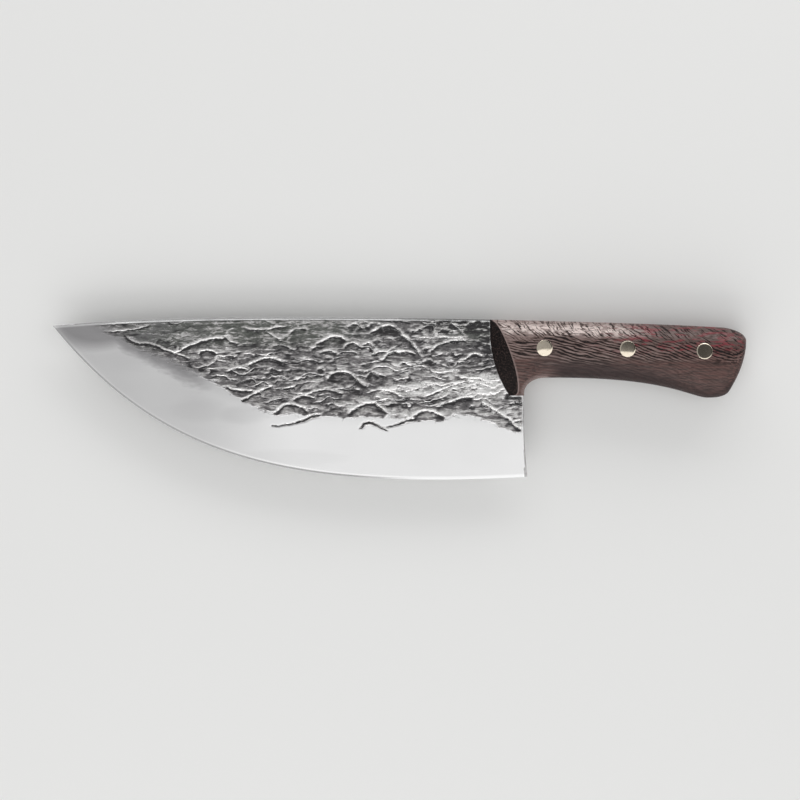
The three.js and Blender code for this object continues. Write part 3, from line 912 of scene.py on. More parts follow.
# ---- Blade ---------------------------------------------------------------------------------


@dataclass
class Blade:
    """The steel forging: hammered and ground blade with its full tang."""

    outline: Outline
    steel: Steel
    crown: CrownShape
    offset: Vector
    lowest: float
    columns: int = 336
    bevel_rows: int = 16
    flat_rows: int = 106
    bevel_shares: tuple[tuple[float, float], ...] = (
        (0.0, 0.80), (0.08, 0.74), (0.16, 0.52), (0.28, 0.32), (0.42, 0.23), (1.0, 0.24),
    )
    tip_width: float = 0.4
    short_column: float = 12.0
    edge_rows: tuple[float, ...] = (0.0, 0.3, 0.7, 1.1)
    first_row: float = 1.5
    eased_share: float = 0.4
    rim_steps: int = 4
    rear_blend: float = 8.0
    hole_radius: float = 2.6
    hole_steps: int = 24
    scale_gap: tuple[float, float] = (-0.2, 0.9)
    rim_reach: float = 2.0
    land_fade: tuple[float, float] = (0.35, 2.0)
    sharp_angle: float = 38.0
    marks: dict[Side, HammerMarks] = field(init=False)

    def __post_init__(self) -> None:
        """Lays both flats' marks."""
        self.marks = {
            Side.LEFT: HammerMarks(41, self.outline, self.steel.grind_line, LEFT_FOLDS),
            Side.RIGHT: HammerMarks(87, self.outline, self.steel.grind_line, long_folds=44),
        }

    def plan(self) -> np.ndarray:
        """Lays the blade's columns from the edge to the spine.

        Returns:
            The plan's x and y by column and row.
        """
        side, eased = self.outline, self.steel.eased
        last = self.tip_width / side.blade_length
        shares = np.concatenate(
            [np.linspace(0, 1 - last, self.columns - 1), [1 - self.eased_share * last, 1.0]]
        )
        spine = side.spine()
        rear_x = side.rear_top[0]
        spine = spine[spine[:, 0] < rear_x]
        top = [rear_x, float(height_at(side.spine(), np.array([rear_x]))[0])]
        upper = evenly(np.vstack([spine, top]), shares)
        lower = evenly(side.edge(), shares)
        length = np.linalg.norm(upper - lower, axis=1)[:, None]
        short = np.clip(length / self.short_column, 1e-3, 1.0)
        near_edge = np.array(self.edge_rows)[None, :] * short
        near_spine = length - np.array([eased, self.eased_share * eased, 0.0])[None, :] * short
        knots = np.array(self.bevel_shares)
        bevel_share = np.interp(shares, knots[:, 0], knots[:, 1])[:, None]
        bevel = np.linspace(0, 1, self.bevel_rows, endpoint=False)[None, :] * bevel_share
        flat = np.linspace(0, 1, self.flat_rows, endpoint=False)[None, :]
        inner_share = np.concatenate([bevel, bevel_share + (1 - bevel_share) * flat], axis=1)
        inner = self.first_row * short
        inner = inner + (length - (self.first_row + eased) * short) * inner_share
        run = np.concatenate([near_edge, inner, near_spine], axis=1) / np.maximum(length, 1e-6)
        plan = lower[:, None, :] + (upper - lower)[:, None, :] * run[..., None]
        rear = np.vstack([side.rear_edge(), top])
        straight = plan[-1, :, 0]
        order = np.argsort(rear[:, 1])
        curved = np.interp(plan[..., 1], rear[order, 1], rear[order, 0])
        line = np.interp(plan[..., 1], plan[-1, :, 1], straight)
        weight = smooth(1 - self.rear_blend / side.blade_length, 1.0, shares)[:, None]
        plan[..., 0] += weight * (curved - line)
        row = int(np.argmin(np.abs(plan[-1, :, 1] - side.rear_top[1])))
        plan[-1, row] = side.rear_top
        plan[..., 1] = np.maximum(plan[..., 1], self.lowest)
        return plan

    def relief(self, plan: np.ndarray, side: Side) -> dict[str, np.ndarray]:
        """Works out one flat's height and what its finish needs to know.

        Args:
            plan: places on the flat, with x and y on the last axis.
            side: which flat.

        Returns:
            The height, how far the hammered face would stand over the polished one, and the
            rasters of the marks, each by place.
        """
        marks = self.marks[side]
        found = {name: marks.sample(name, plan) for name in marks.fields}
        clear = smooth(*self.scale_gap, -self.crown.from_front(plan))
        below = smooth(-self.crown.foot - 0.3, -self.crown.foot - 1.2, plan[..., 1])
        clear = np.maximum(clear, below)
        half = self.steel.half_at(plan[..., 0], self.outline)
        from_edge = distance_to(self.outline.edge(), plan)
        polished = self.steel.ground(plan, from_edge, self.outline)
        rim = self.to_rim(plan)
        hammered = half - found["depth"] * clear * smooth(*self.land_fade, rim)
        height = np.minimum(hammered, polished)
        eased = self.steel.eased
        round_off = eased - np.sqrt(np.maximum(eased**2 - np.maximum(eased - rim, 0) ** 2, 0))
        height = np.maximum(height - round_off * smooth(0.2, 1.2, height), self.steel.apex_half)
        found.update(height=height, proud=hammered - polished, from_edge=from_edge)
        return found

    def to_rim(self, plan: np.ndarray) -> np.ndarray:
        """Distance to the spine or to the rear edge, whichever is nearer."""
        spine = distance_to(self.outline.spine()[::2], plan)
        return np.minimum(spine, distance_to(self.outline.rear_edge(), plan))

    def tang_chain(self) -> np.ndarray:
        """The tang's outline from the top of the blade's rear edge round to the spine.

        Returns:
            Its points, one to a row.
        """
        side = self.outline
        spine = side.handle_spine()[::-1]
        spine = spine[spine[:, 0] > side.rear_top[0] + 0.4]
        return joined(
            side.fillet_curve(),
            side.underside(),
            side.butt_low(),
            side.butt_high(),
            side.butt_top(),
            spine,
        )

    def add_sheet(self, mesh: bmesh.types.BMesh, plan: np.ndarray, side: Side,
                  height: np.ndarray, holes: Sequence[tuple[float, float]]) -> None:
        """Adds one flat of the blade and the tang.

        Args:
            mesh: the mesh that it joins.
            plan: the blade's plan by column and row.
            side: which flat.
            height: the blade's height by column and row.
            holes: the rivets' places.
        """
        sign = side.value
        places = np.concatenate([plan, sign * height[..., None]], axis=-1)
        grid = lay_grid(mesh, places)
        rows = plan.shape[1]
        last = grid[-rows:]
        first = int(np.argmin(np.abs(plan[-1, :, 1] - self.outline.rear_top[1])))
        level = sign * self.steel.half
        chain = [mesh.verts.new((x, y, level)) for x, y in self.tang_chain()[1:]]
        ring = [last[first], *chain, last[-1]]
        edges = [mesh.edges.new(pair) for pair in zip(ring[:-1], ring[1:])]
        edges += [mesh.edges.get(pair) for pair in zip(last[first:-1], last[first + 1 :])]
        for x, y in holes:
            place = Matrix.Translation((x, y, level))
            circle = bmesh.ops.create_circle(
                mesh, segments=self.hole_steps, radius=self.hole_radius, matrix=place
            )
            edges += {edge for vert in circle["verts"] for edge in vert.link_edges}
        bmesh.ops.triangle_fill(mesh, edges=list(edges), use_beauty=True, normal=(0, 0, sign))

    def close_rim(self, mesh: bmesh.types.BMesh, lower: dict[tuple[int, int], float]) -> None:
        """Joins the two flats round the outline and through the rivet holes.

        Args:
            mesh: the mesh that holds both flats.
            lower: the right flat's height at each place of the outline.
        """
        edges = [edge for edge in mesh.edges if edge.is_boundary and edge.verts[0].co.z > 0]
        for step in range(self.rim_steps):
            made = bmesh.ops.extrude_edge_only(mesh, edges=edges)["geom"]
            edges = [item for item in made if isinstance(item, bmesh.types.BMEdge)]
            for vert in (item for item in made if isinstance(item, bmesh.types.BMVert)):
                goal = lower[key_of(vert.co.x, vert.co.y)]
                vert.co.z += (goal - vert.co.z) / (self.rim_steps - step)

    def build(self, holes: Sequence[tuple[float, float]]) -> bpy.types.Object:
        """Builds the forging.

        Args:
            holes: the rivets' places.

        Returns:
            The piece, with the attributes that its finish reads.
        """
        plan = self.plan()
        mesh = bmesh.new()
        reliefs = {side: self.relief(plan, side) for side in Side}
        for side in Side:
            self.add_sheet(mesh, plan, side, reliefs[side]["height"], holes)
        lower = {
            key_of(vert.co.x, vert.co.y): vert.co.z
            for vert in mesh.verts
            if vert.is_boundary and vert.co.z < 0
        }
        self.close_rim(mesh, lower)
        piece = finish_piece(mesh, "forged_blade", self.offset, self.sharp_angle)
        self.note_relief(piece)
        return piece

    def note_relief(self, piece: bpy.types.Object) -> None:
        """Writes what the finish reads to the piece's vertices.

        Args:
            piece: the forging.
        """
        places = plan_of(piece, self.offset)
        left = places[:, 2] > 0
        names = ("proud", "line", "strength", "scale_and_shade", "raised", "calm", "from_edge")
        values = {name: np.zeros(len(places)) for name in names}
        for side in Side:
            chosen = left if side is Side.LEFT else ~left
            relief = self.relief(places[chosen, :2], side)
            for name, array in values.items():
                array[chosen] = relief[name]
        for name, array in values.items():
            store(piece, name, array)
        rim = np.minimum(self.to_rim(places[:, :2]), self.rim_reach)
        tang = (places[:, 0] > self.outline.rear_top[0]) & (np.abs(places[:, 2]) < 2.0)
        store(piece, "to_rim", np.where(tang, 0.0, rim))


def key_of(x: float, y: float) -> tuple[int, int]:
    """A place on the plan as a key, to a thousandth of a millimetre."""
    return (round(x * 1000), round(y * 1000))


# ---- Handle scales -------------------------------------------------------------------------


@dataclass
class HandleScale:
    """One crowned wooden scale with its leaning front and counterbored rivet holes."""

    crown: CrownShape
    side: Side
    offset: Vector
    columns: int = 150
    rows: int = 56
    seat: float = 5.0
    head_radius: float = 3.55
    barrel_radius: float = 2.6
    base: float = 2.11
    drill_depth: float = 10.0
    drill_sides: int = 64
    sharp_angle: float = 42.0
    crease: float = 0.35
    round_over: float = 1.9
    front_crowding: float = 0.54
    even_rows: float = 0.35
    merge: float = 0.03
    sliver: float = 0.01

    def boundaries(self) -> tuple[np.ndarray, np.ndarray, np.ndarray, np.ndarray]:
        """Cuts the scale's outline into four sides.

        Returns:
            The lower, upper, front and butt sides; the first two run to the butt, the others
            up to the spine.
        """
        side, crown = self.crown.outline, self.crown
        turn = math.asin((crown.foot - crown.front_top) / crown.front_radius)
        angle = np.linspace(math.pi + turn, math.pi, 60)
        arc = crown.front_centre + crown.front_radius * np.stack(
            [np.cos(angle), np.sin(angle)], axis=-1
        )
        spine = side.handle_spine()
        top = np.array([-crown.lead, float(height_at(spine, np.array([-crown.lead]))[0])])
        front = np.vstack([arc, top])
        foot = np.array([arc[0], [side.rear_top[0], -crown.foot]])
        lower = joined(foot, np.array([foot[-1], side.rear_top]), side.fillet_curve(),
                       side.underside(), side.butt_low())
        corner = side.butt_top()
        half = len(corner) // 2
        upper = joined(np.vstack([top, spine[spine[:, 0] > -crown.lead]]), corner[half:][::-1])
        butt = joined(side.butt_high(), corner[: half + 1])
        return lower, upper, front, butt

    def surface(self, plan: np.ndarray) -> np.ndarray:
        """Height of the wood: the crown, rounded over at the outline and cut to its front.

        Args:
            plan: places on the plan, with x and y on the last axis.

        Returns:
            One height for each place.
        """
        lower, upper, _, butt = self.boundaries()
        rim = np.minimum(distance_to(lower, plan), distance_to(butt, plan))
        rim = np.minimum(rim, distance_to(upper, plan))
        radius = self.round_over
        drop = radius - np.sqrt(radius**2 - np.clip(radius - rim, 0, radius) ** 2)
        crown = self.crown.height(plan)
        crown = crown - drop * smooth(0.0, radius, crown - self.crown.base)
        lean = self.crown.base + self.crown.from_front(plan)
        gap = np.clip(0.5 + 0.5 * (crown - lean) / self.crease, 0, 1)
        blend = crown * (1 - gap) + lean * gap - self.crease * gap * (1 - gap)
        return np.maximum(blend, self.base + 0.02)

    def plan(self) -> np.ndarray:
        """Lays the plan between the four sides, closer together near the front.

        Returns:
            The plan's x and y by column and row.
        """
        lower, upper, front, butt = self.boundaries()
        along = np.linspace(0, 1, self.columns + 1)
        along = along - self.front_crowding * np.sin(2 * math.pi * along) / (2 * math.pi)
        along = np.clip(along / along[-1], 0, 1)
        even = np.linspace(0, 1, self.rows + 1)
        across = self.even_rows * even + (1 - self.even_rows) * (0.5 - 0.5 * np.cos(math.pi * even))
        low, high = evenly(lower, along)[:, None, :], evenly(upper, along)[:, None, :]
        fore, aft = evenly(front, across)[None, :, :], evenly(butt, across)[None, :, :]
        u, v = along[:, None, None], across[None, :, None]
        corners = (
            (1 - u) * (1 - v) * low[0, 0]
            + u * (1 - v) * low[-1, 0]
            + (1 - u) * v * high[0, 0]
            + u * v * high[-1, 0]
        )
        return (1 - v) * low + v * high + (1 - u) * fore + u * aft - corners

    def build(self, name: str, holes: Sequence[tuple[float, float]]) -> bpy.types.Object:
        """Builds the scale.

        Args:
            name: the piece's name.
            holes: the rivets' places.

        Returns:
            The piece, with the attribute that its finish reads.
        """
        plan = self.plan()
        places = np.concatenate([plan, self.surface(plan)[..., None]], axis=-1)
        mesh = bmesh.new()
        lay_grid(mesh, places)
        rim = [edge for edge in mesh.edges if edge.is_boundary]
        made = bmesh.ops.extrude_edge_only(mesh, edges=rim)["geom"]
        for vert in (item for item in made if isinstance(item, bmesh.types.BMVert)):
            vert.co.z = self.base
        bmesh.ops.holes_fill(mesh, edges=[edge for edge in mesh.edges if edge.is_boundary])
        bmesh.ops.triangulate(mesh, faces=[face for face in mesh.faces if len(face.verts) > 4])
        piece = finish_piece(mesh, name, self.offset, self.sharp_angle)
        self.bore(piece, holes)
        self.clean(piece)
        self.note_grain(piece)
        return piece

    def bore(self, piece: bpy.types.Object, holes: Sequence[tuple[float, float]]) -> None:
        """Cuts the stepped rivet holes.

        Args:
            piece: the scale.
            holes: the rivets' places.
        """
        cutter_mesh = bmesh.new()
        seat = self.crown.base + self.seat
        steps = [(self.barrel_radius, 0.0), (self.barrel_radius, seat), (self.head_radius, seat),
                 (self.head_radius, seat + self.drill_depth)]
        for x, y in holes:
            profile = [(0.0, 0.0), *steps, (0.0, seat + self.drill_depth)]
            revolve(cutter_mesh, profile, (x, y), self.drill_sides)
        cutter = finish_piece(cutter_mesh, "rivet_drill", self.offset, self.sharp_angle)
        cut = piece.modifiers.new("rivet_holes", "BOOLEAN")
        cut.operation = "DIFFERENCE"
        cut.object = cutter
        cut.solver = "EXACT"
        apply_modifiers(piece)
        bpy.data.objects.remove(cutter)

    def clean(self, piece: bpy.types.Object) -> None:
        """Removes the slivers that boring leaves, and mirrors the right scale.

        Args:
            piece: the bored scale, made as the left one.
        """
        mesh = bmesh.new()
        mesh.from_mesh(piece.data)
        bmesh.ops.remove_doubles(mesh, verts=mesh.verts, dist=self.merge * MM)
        bmesh.ops.dissolve_degenerate(mesh, edges=mesh.edges, dist=self.sliver * MM)
        bmesh.ops.triangulate(mesh, faces=[face for face in mesh.faces if len(face.verts) > 4],
                              ngon_method="EAR_CLIP")
        if self.side is Side.RIGHT:
            bmesh.ops.scale(mesh, vec=(1, 1, -1), verts=mesh.verts,
                            space=Matrix.Translation(-self.offset))
            bmesh.ops.reverse_faces(mesh, faces=mesh.faces)
        mesh.to_mesh(piece.data)
        mesh.free()

    def note_grain(self, piece: bpy.types.Object) -> None:
        """Writes each vertex's place on the scale, for the wood's finish.

        Args:
            piece: the scale.
        """
        places = plan_of(piece, self.offset)
        flat, side = places[:, :2], self.crown.outline
        height = self.side.value * places[:, 2] - self.crown.base
        values = {
            "behind_front": self.crown.from_front(flat) - np.maximum(height, 0),
            "below_spine": height_at(side.spine(), flat[:, 0]) - flat[:, 1],
            "to_butt": distance_to(self.boundaries()[3], flat),
            "along": flat[:, 0],
            "to_fillet": distance_to(side.fillet_curve(), flat),
            "to_underside": distance_to(joined(side.underside(), side.butt_low()), flat),
        }
        for name, array in values.items():
            store(piece, name, array)


def apply_modifiers(piece: bpy.types.Object) -> None:
    """Writes a piece's modifiers into its mesh.

    Args:
        piece: the piece.
    """
    graph = bpy.context.evaluated_depsgraph_get()
    data = bpy.data.meshes.new_from_object(piece.evaluated_get(graph), depsgraph=graph)
    piece.modifiers.clear()
    piece.data = data


def revolve(mesh: bmesh.types.BMesh, profile: Sequence[tuple[float, float]],
            place: tuple[float, float], steps: int) -> None:
    """Spins a profile about an upright axis.

    Args:
        mesh: the mesh that the turned shape joins.
        profile: radius and height of each point, from the axis round to the axis.
        place: the axis's x and y.
        steps: how many sides the turned shape has.
    """
    x, y = place
    verts = [mesh.verts.new((x + radius, y, height)) for radius, height in profile]
    edges = [mesh.edges.new(pair) for pair in zip(verts[:-1], verts[1:])]
    bmesh.ops.spin(mesh, geom=verts + edges, cent=(x, y, 0), axis=(0, 0, 1),
                   angle=2 * math.pi, steps=steps, use_merge=True)


# ---- Rivets --------------------------------------------------------------------------------


class Half(Enum):
    """The two halves of a cutler's rivet."""

    FEMALE = "female"
    MALE = "male"


@dataclass
class RivetHalf:
    """One half of a cutler's rivet, its head ground to the crown of the scale."""

    crown: CrownShape
    place: tuple[float, float]
    half: Half
    offset: Vector
    head_radius: float = 3.5
    barrel_radius: float = 2.5
    bore_radius: float = 1.6
    shank_radius: float = 1.5
    seat: float = 5.05
    floor: float = 1.0
    end_clearance: float = 0.5
    eased: float = 0.06
    eased_drop: float = 0.6
    blank_height: float = 6.0
    sharp_angle: float = 35.0
    steps: int = 64
    rings: int = 7

    def profile(self) -> list[tuple[float, float]]:
        """Radius and height of the half's outline, from the axis below to the axis above.

        Returns:
            The radius and height of each point.
        """
        seat = self.crown.base + self.seat
        end = seat - self.floor
        top = seat + self.blank_height
        face = [(self.head_radius - self.eased * share, top) for share in (0.0, 0.3, 1.0)]
        rest = np.linspace(self.head_radius - self.eased, 0.0, self.rings + 1)[1:]
        face += [(float(radius), top) for radius in rest]
        if self.half is Half.FEMALE:
            low = self.end_clearance - seat
            return [(0.0, end), (self.bore_radius, end), (self.bore_radius, low),
                    (self.barrel_radius, low), (self.barrel_radius, seat),
                    (self.head_radius, seat), *face]
        low = self.end_clearance - end
        return [(0.0, low), (self.shank_radius, low), (self.shank_radius, seat),
                (self.head_radius, seat), *face]

    def build(self, name: str) -> bpy.types.Object:
        """Builds the half.

        Args:
            name: the piece's name.

        Returns:
            The piece.
        """
        mesh = bmesh.new()
        revolve(mesh, self.profile(), self.place, self.steps)
        bmesh.ops.remove_doubles(mesh, verts=mesh.verts, dist=MERGE)
        top = self.crown.base + self.seat + self.blank_height
        centre = np.array(self.place)
        for vert in mesh.verts:
            if vert.co.z < top - MERGE:
                continue
            place = np.array([vert.co.x, vert.co.y])
            inward = self.head_radius - float(np.hypot(*(place - centre)))
            drop = self.eased * (1 - min(inward / self.eased, 1.0)) ** 2
            vert.co.z = float(self.crown.height(place)) - self.eased_drop * drop
        if self.half is Half.MALE:
            bmesh.ops.scale(mesh, vec=(1, 1, -1), verts=mesh.verts)
        return finish_piece(mesh, name, self.offset, self.sharp_angle)


# ---- Materials -----------------------------------------------------------------------------


class Signal:
    """A number that a shader's nodes work out; plain arithmetic on it adds nodes."""

    def __init__(self, graph: "Graph", socket: bpy.types.NodeSocket) -> None:
        """Keeps the graph and the output that gives the number."""
        self.graph = graph
        self.socket = socket

    def __add__(self, other: "Signal | float") -> "Signal":
        """The sum of the two."""
        return self.graph.sums("ADD", self, other)

    def __sub__(self, other: "Signal | float") -> "Signal":
        """This less the other."""
        return self.graph.sums("SUBTRACT", self, other)

    def __rsub__(self, other: float) -> "Signal":
        """The other less this."""
        return self.graph.sums("SUBTRACT", other, self)

    def __mul__(self, other: "Signal | float") -> "Signal":
        """The product of the two."""
        return self.graph.sums("MULTIPLY", self, other)

    def __truediv__(self, other: "Signal | float") -> "Signal":
        """This divided by the other."""
        return self.graph.sums("DIVIDE", self, other)

    def __abs__(self) -> "Signal":
        """This without its sign."""
        return self.graph.sums("ABSOLUTE", self)


class Graph:
    """A shader's nodes, written as plain sums."""

    def __init__(self, holder: bpy.types.Material | bpy.types.World) -> None:
        """Starts with the nodes that a material or a world comes with.

        Args:
            holder: the material or the world.
        """
        holder.use_nodes = True
        self.holder = holder
        self.tree = holder.node_tree

    @classmethod
    def named(cls, name: str) -> "Graph":
        """Starts a new material, which holds one Principled shader."""
        return cls(bpy.data.materials.new(name))

    def put(self, socket: bpy.types.NodeSocket, value: object) -> None:
        """Links a socket to an output, or sets it to a plain value.

        Args:
            socket: the input.
            value: a signal, another node's output, or a plain value.
        """
        if isinstance(value, Signal):
            value = value.socket
        if isinstance(value, bpy.types.NodeSocket):
            self.tree.links.new(value, socket)
        else:
            socket.default_value = value

    def node(self, kind: str, inputs: Sequence[object] = (), **settings: object) -> bpy.types.Node:
        """Adds a node.

        Args:
            kind: its type.
            inputs: what its first inputs take, in their order.
            settings: its own properties.

        Returns:
            The node.
        """
        made = self.tree.nodes.new(kind)
        for name, value in settings.items():
            setattr(made, name, value)
        for socket, value in zip(made.inputs, inputs):
            self.put(socket, value)
        return made

    def sums(self, operation: str, *values: Signal | float) -> Signal:
        """One step of arithmetic."""
        return Signal(self, self.node("ShaderNodeMath", values, operation=operation).outputs[0])

    def larger(self, first: Signal | float, second: Signal | float) -> Signal:
        """The larger of the two."""
        return self.sums("MAXIMUM", first, second)

    def total(self, start: Signal | float, *parts: tuple[Signal, float | Signal]) -> Signal:
        """Adds weighted parts to a start.

        Args:
            start: what they are added to.
            parts: each part with its weight.

        Returns:
            The sum.
        """
        for part, weight in parts:
            start = self.sums("MULTIPLY_ADD", part, weight, start)
        return start

    def between(self, first: Signal, second: Signal, share: Signal) -> Signal:
        """Goes from the first number to the second as the share goes from 0 to 1."""
        return self.total(first, (second - first, share))

    def step(self, value: Signal, low: float, high: float, start: float = 0.0,
             end: float = 1.0) -> Signal:
        """A smooth step of a value, from start at low to end at high.

        Args:
            value: what is stepped.
            low: where the step begins; it may lie above its end.
            high: where it ends.
            start: the result up to low.
            end: the result past high.

        Returns:
            The stepped value.
        """
        taken = (value, low, high, start, end)
        made = self.node("ShaderNodeMapRange", taken, interpolation_type="SMOOTHSTEP")
        return Signal(self, made.outputs[0])

    def vector(self, *values: Signal | float) -> bpy.types.NodeSocket:
        """A place made of up to three numbers."""
        return self.node("ShaderNodeCombineXYZ", values).outputs[0]

    def split(self, vector: bpy.types.NodeSocket) -> list[Signal]:
        """A place's three numbers."""
        return [Signal(self, axis) for axis in self.node("ShaderNodeSeparateXYZ", [vector]).outputs]

    def millimetres(self, scale: Sequence[float] = (1, 1, 1), turn: Sequence[float] = (0, 0, 0),
                    shift: Sequence[float] = (0, 0, 0)) -> bpy.types.NodeSocket:
        """Object coordinates in millimetres, scaled, turned and shifted.

        Args:
            scale: how far each axis is drawn together.
            turn: the turn about each axis, in radians.
            shift: the shift along each axis.

        Returns:
            The place.
        """
        place = self.node("ShaderNodeTexCoord").outputs["Object"]
        taken = (place, shift, turn, [value / MM for value in scale])
        return self.node("ShaderNodeMapping", taken).outputs["Vector"]

    def noise(self, where: bpy.types.NodeSocket, scale: float, detail: float = 2.0,
              roughness: float = 0.5, distortion: float = 0.0) -> Signal:
        """Noise between 0 and 1.

        Args:
            where: the place that it is read at.
            scale: its cycles for each unit of the place.
            detail: how many finer layers it has.
            roughness: how strong they are.
            distortion: how far it is warped.

        Returns:
            The noise.
        """
        made = self.node("ShaderNodeTexNoise", [where])
        for name, item in (("Scale", scale), ("Detail", detail), ("Roughness", roughness),
                           ("Distortion", distortion)):
            self.put(made.inputs[name], item)
        return Signal(self, made.outputs["Fac"])

    def attribute(self, name: str) -> Signal:
        """A number that the piece's vertices hold."""
        return Signal(self, self.node("ShaderNodeAttribute", attribute_name=name).outputs["Fac"])

    def colour(self, factor: Signal, first: object, second: object) -> bpy.types.NodeSocket:
        """Goes from the first colour to the second as the factor goes from 0 to 1.

        Args:
            factor: how much of the second it takes.
            first: a colour, or another node's output.
            second: the same.

        Returns:
            The colour.
        """
        made = self.node("ShaderNodeMix", [factor], data_type="RGBA")
        first_socket, second_socket = [item for item in made.inputs if item.type == "RGBA"][:2]
        self.put(first_socket, first)
        self.put(second_socket, second)
        return next(item for item in made.outputs if item.type == "RGBA")

    def bump(self, height: Signal, strength: float = 1.0) -> bpy.types.NodeSocket:
        """Turns a height in millimetres into a surface direction.

        Args:
            height: the height.
            strength: how much of it shows.

        Returns:
            The direction.
        """
        made = self.node("ShaderNodeBump")
        for name, value in (("Height", height), ("Strength", strength), ("Distance", MM)):
            self.put(made.inputs[name], value)
        return made.outputs["Normal"]

    def surface(self, **values: object) -> bpy.types.Material:
        """Sets the shader's inputs, by names with underscores, and gives the material.

        Args:
            values: what each input takes.

        Returns:
            The material.
        """
        shader = self.tree.nodes["Principled BSDF"]
        for name, value in values.items():
            self.put(shader.inputs[name.replace("_", " ").title().replace("Ior", "IOR")], value)
        return self.holder


Patch = tuple[float, float, float, float, float]


@dataclass(frozen=True)
class ForgedSteel:
    """Hammered steel: forge scale in its hollows with painted shade under each crest, burnished crests
    brightened as painted highlights, and a polished bevel with painted shade.

    A patch is a soft oval: its centre, half length, half width and strength.
    """

    # The darkest tone: forge scale, and the painted shade in the hollows under the crests.
    scale_and_shade: Colour = (0.062, 0.060, 0.062, 1)
    middle: Colour = (0.20, 0.192, 0.195, 1)
    light: Colour = (0.58, 0.565, 0.56, 1)
    # Crest colour: burnished steel, also used as a painted highlight on the crest lines.
    crest: Colour = (0.93, 0.92, 0.91, 1)
    calm: Colour = (0.150, 0.158, 0.145, 1)
    bevel: Colour = (0.84, 0.84, 0.84, 1)
    # Dark grey: the rim's darker grinding marks, and painted shade on the bevel.
    dark_grind_and_shade: Colour = (0.30, 0.295, 0.30, 1)
    # Painted highlight, along the sharpened edge and the spine's corner.
    painted_highlight: Colour = (0.93, 0.93, 0.93, 1)
    edge_grey: Colour = (0.36, 0.36, 0.36, 1)
    rim: Colour = (0.60, 0.595, 0.59, 1)
    patch_edge: float = 1.4
    crest_offset: float = 0.14
    worn: tuple[Patch, ...] = (
        (-19.0, -30.5, 16.0, 6.5, 1.7), (-45.0, -32.0, 19.0, 4.2, 1.4), (-58.0, -33.0, 10.0, 3.2, 1.3),
        (-76.0, -39.5, 10.0, 4.0, 0.6), (-68.0, -49.0, 11.0, 4.0, 0.9), (-108.0, -41.5, 6.0, 3.0, 0.7),
        (-12.0, -46.5, 11.0, 3.6, 0.7), (-16.5, -41.7, 6.0, 2.4, 0.8), (-39.0, -25.0, 10.0, 3.0, 0.6),
        (-68.0, -36.0, 11.0, 3.6, 0.6), (-9.0, -41.0, 7.0, 5.0, 0.7), (-95.0, -30.0, 14.0, 4.0, 0.35),
        (-48.0, -42.0, 22.0, 2.2, 0.8), (-62.0, -22.0, 9.0, 2.6, 0.5), (-112.0, -8.8, 10.0, 1.6, 0.5),
        (-48.0, -9.2, 22.0, 1.3, 0.5), (-152.0, -8.4, 10.0, 1.8, 0.5), (-100.0, -2.0, 34.0, 1.2, 0.5),
    )
    scaled: tuple[Patch, ...] = (
        (-22.0, -3.0, 24.0, 5.0, 1.3), (-13.0, -13.0, 9.0, 9.0, 1.1), (-58.0, -7.5, 9.0, 3.0, 0.7),
        (-48.0, -36.5, 20.0, 2.4, 0.7), (-78.0, -6.0, 8.0, 3.5, 0.4), (-90.0, -26.0, 9.0, 2.4, 0.5),
        (-40.0, -20.0, 12.0, 2.4, 0.5), (-118.0, -26.0, 9.0, 5.0, 0.4), (-5.5, -37.0, 6.0, 3.6, 0.9),
    )
    # Soft dark patches of painted shade on the polished bevel.
    bevel_shade_patches: tuple[Patch, ...] = (
        (-144.0, -41.0, 14.0, 6.0, 0.07), (-190.0, -2.0, 22.0, 13.0, 0.78),
        (-177.0, -12.5, 24.0, 12.0, 0.10), (-126.0, -43.0, 12.0, 4.5, 0.14),
        (-105.0, -62.0, 26.0, 4.0, 0.08),
    )

    def patches(self, g: Graph, origin: Vector, table: Sequence[Patch]) -> Signal:
        """Lays soft oval patches on the plan.

        Args:
            g: the steel's graph.
            origin: the plan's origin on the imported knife, in metres.
            table: the patches.

        Returns:
            A value from 0 to the highest strength.
        """
        total: Signal | float = 0.0
        across, up, _ = g.split(g.millimetres())
        for x, y, length, width, strength in table:
            u = (across - (x + origin.x / MM)) / length
            v = (up - (y + origin.y / MM)) / width
            spot = g.step(u * u + v * v, self.patch_edge, 0.0, 0.0, strength)
            total = g.larger(spot, total)
        return total

    def make(self, origin: Vector) -> bpy.types.Material:
        """Builds the steel's material.

        Args:
            origin: the plan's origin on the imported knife, in metres.

        Returns:
            The material.
        """
        g = Graph.named("forged_steel")
        where = g.millimetres()
        fine = g.noise(g.millimetres((0.9, 2.4, 1.0)), 1.0, 4.0, 0.65)
        sand = g.noise(where, 3.4, 2.0, 0.7)
        streak = g.noise(g.millimetres((0.20, 0.80, 0.5)), 1.0, 4.0, 0.62, 0.8)
        wisp = g.noise(g.millimetres((0.14, 0.50, 0.3), shift=(7.0, 3.0, 0.0)), 1.0, 3.0, 0.6, 0.9)
        patch = g.noise(g.millimetres((0.045, 0.09, 0.05)), 1.0, 3.0)
        wobble = g.noise(g.millimetres((0.8, 1.1, 1.0)), 1.0, 3.0, 0.6)
        to_heel = g.split(where)[0] - origin.x / MM
        strength, raised, calm, proud, to_rim, from_edge = (
            g.attribute(name)
            for name in ("strength", "raised", "calm", "proud", "to_rim", "from_edge")
        )
        line = g.total(g.attribute("line"), (wobble - 0.5, 0.45)) - self.crest_offset

        # Where the bevel's polish ends: raggedly over most of the blade, softly by the tip.
        ragged = g.total(proud, (fine - 0.5, 0.10), (streak - 0.5, 0.10))
        faded = g.step(proud, -0.16, 0.05)
        polished = g.between(g.step(ragged, -0.030, 0.025), faded, g.step(to_heel, -138.0, -150.0))
        pits = g.step(g.noise(where, 1.1), 0.66, 0.72) * g.step(proud, 0.14, 0.02)
        polished = polished * g.total(1.0, (pits, -0.7))
        nearly = g.step(ragged, -0.16, 0.0)
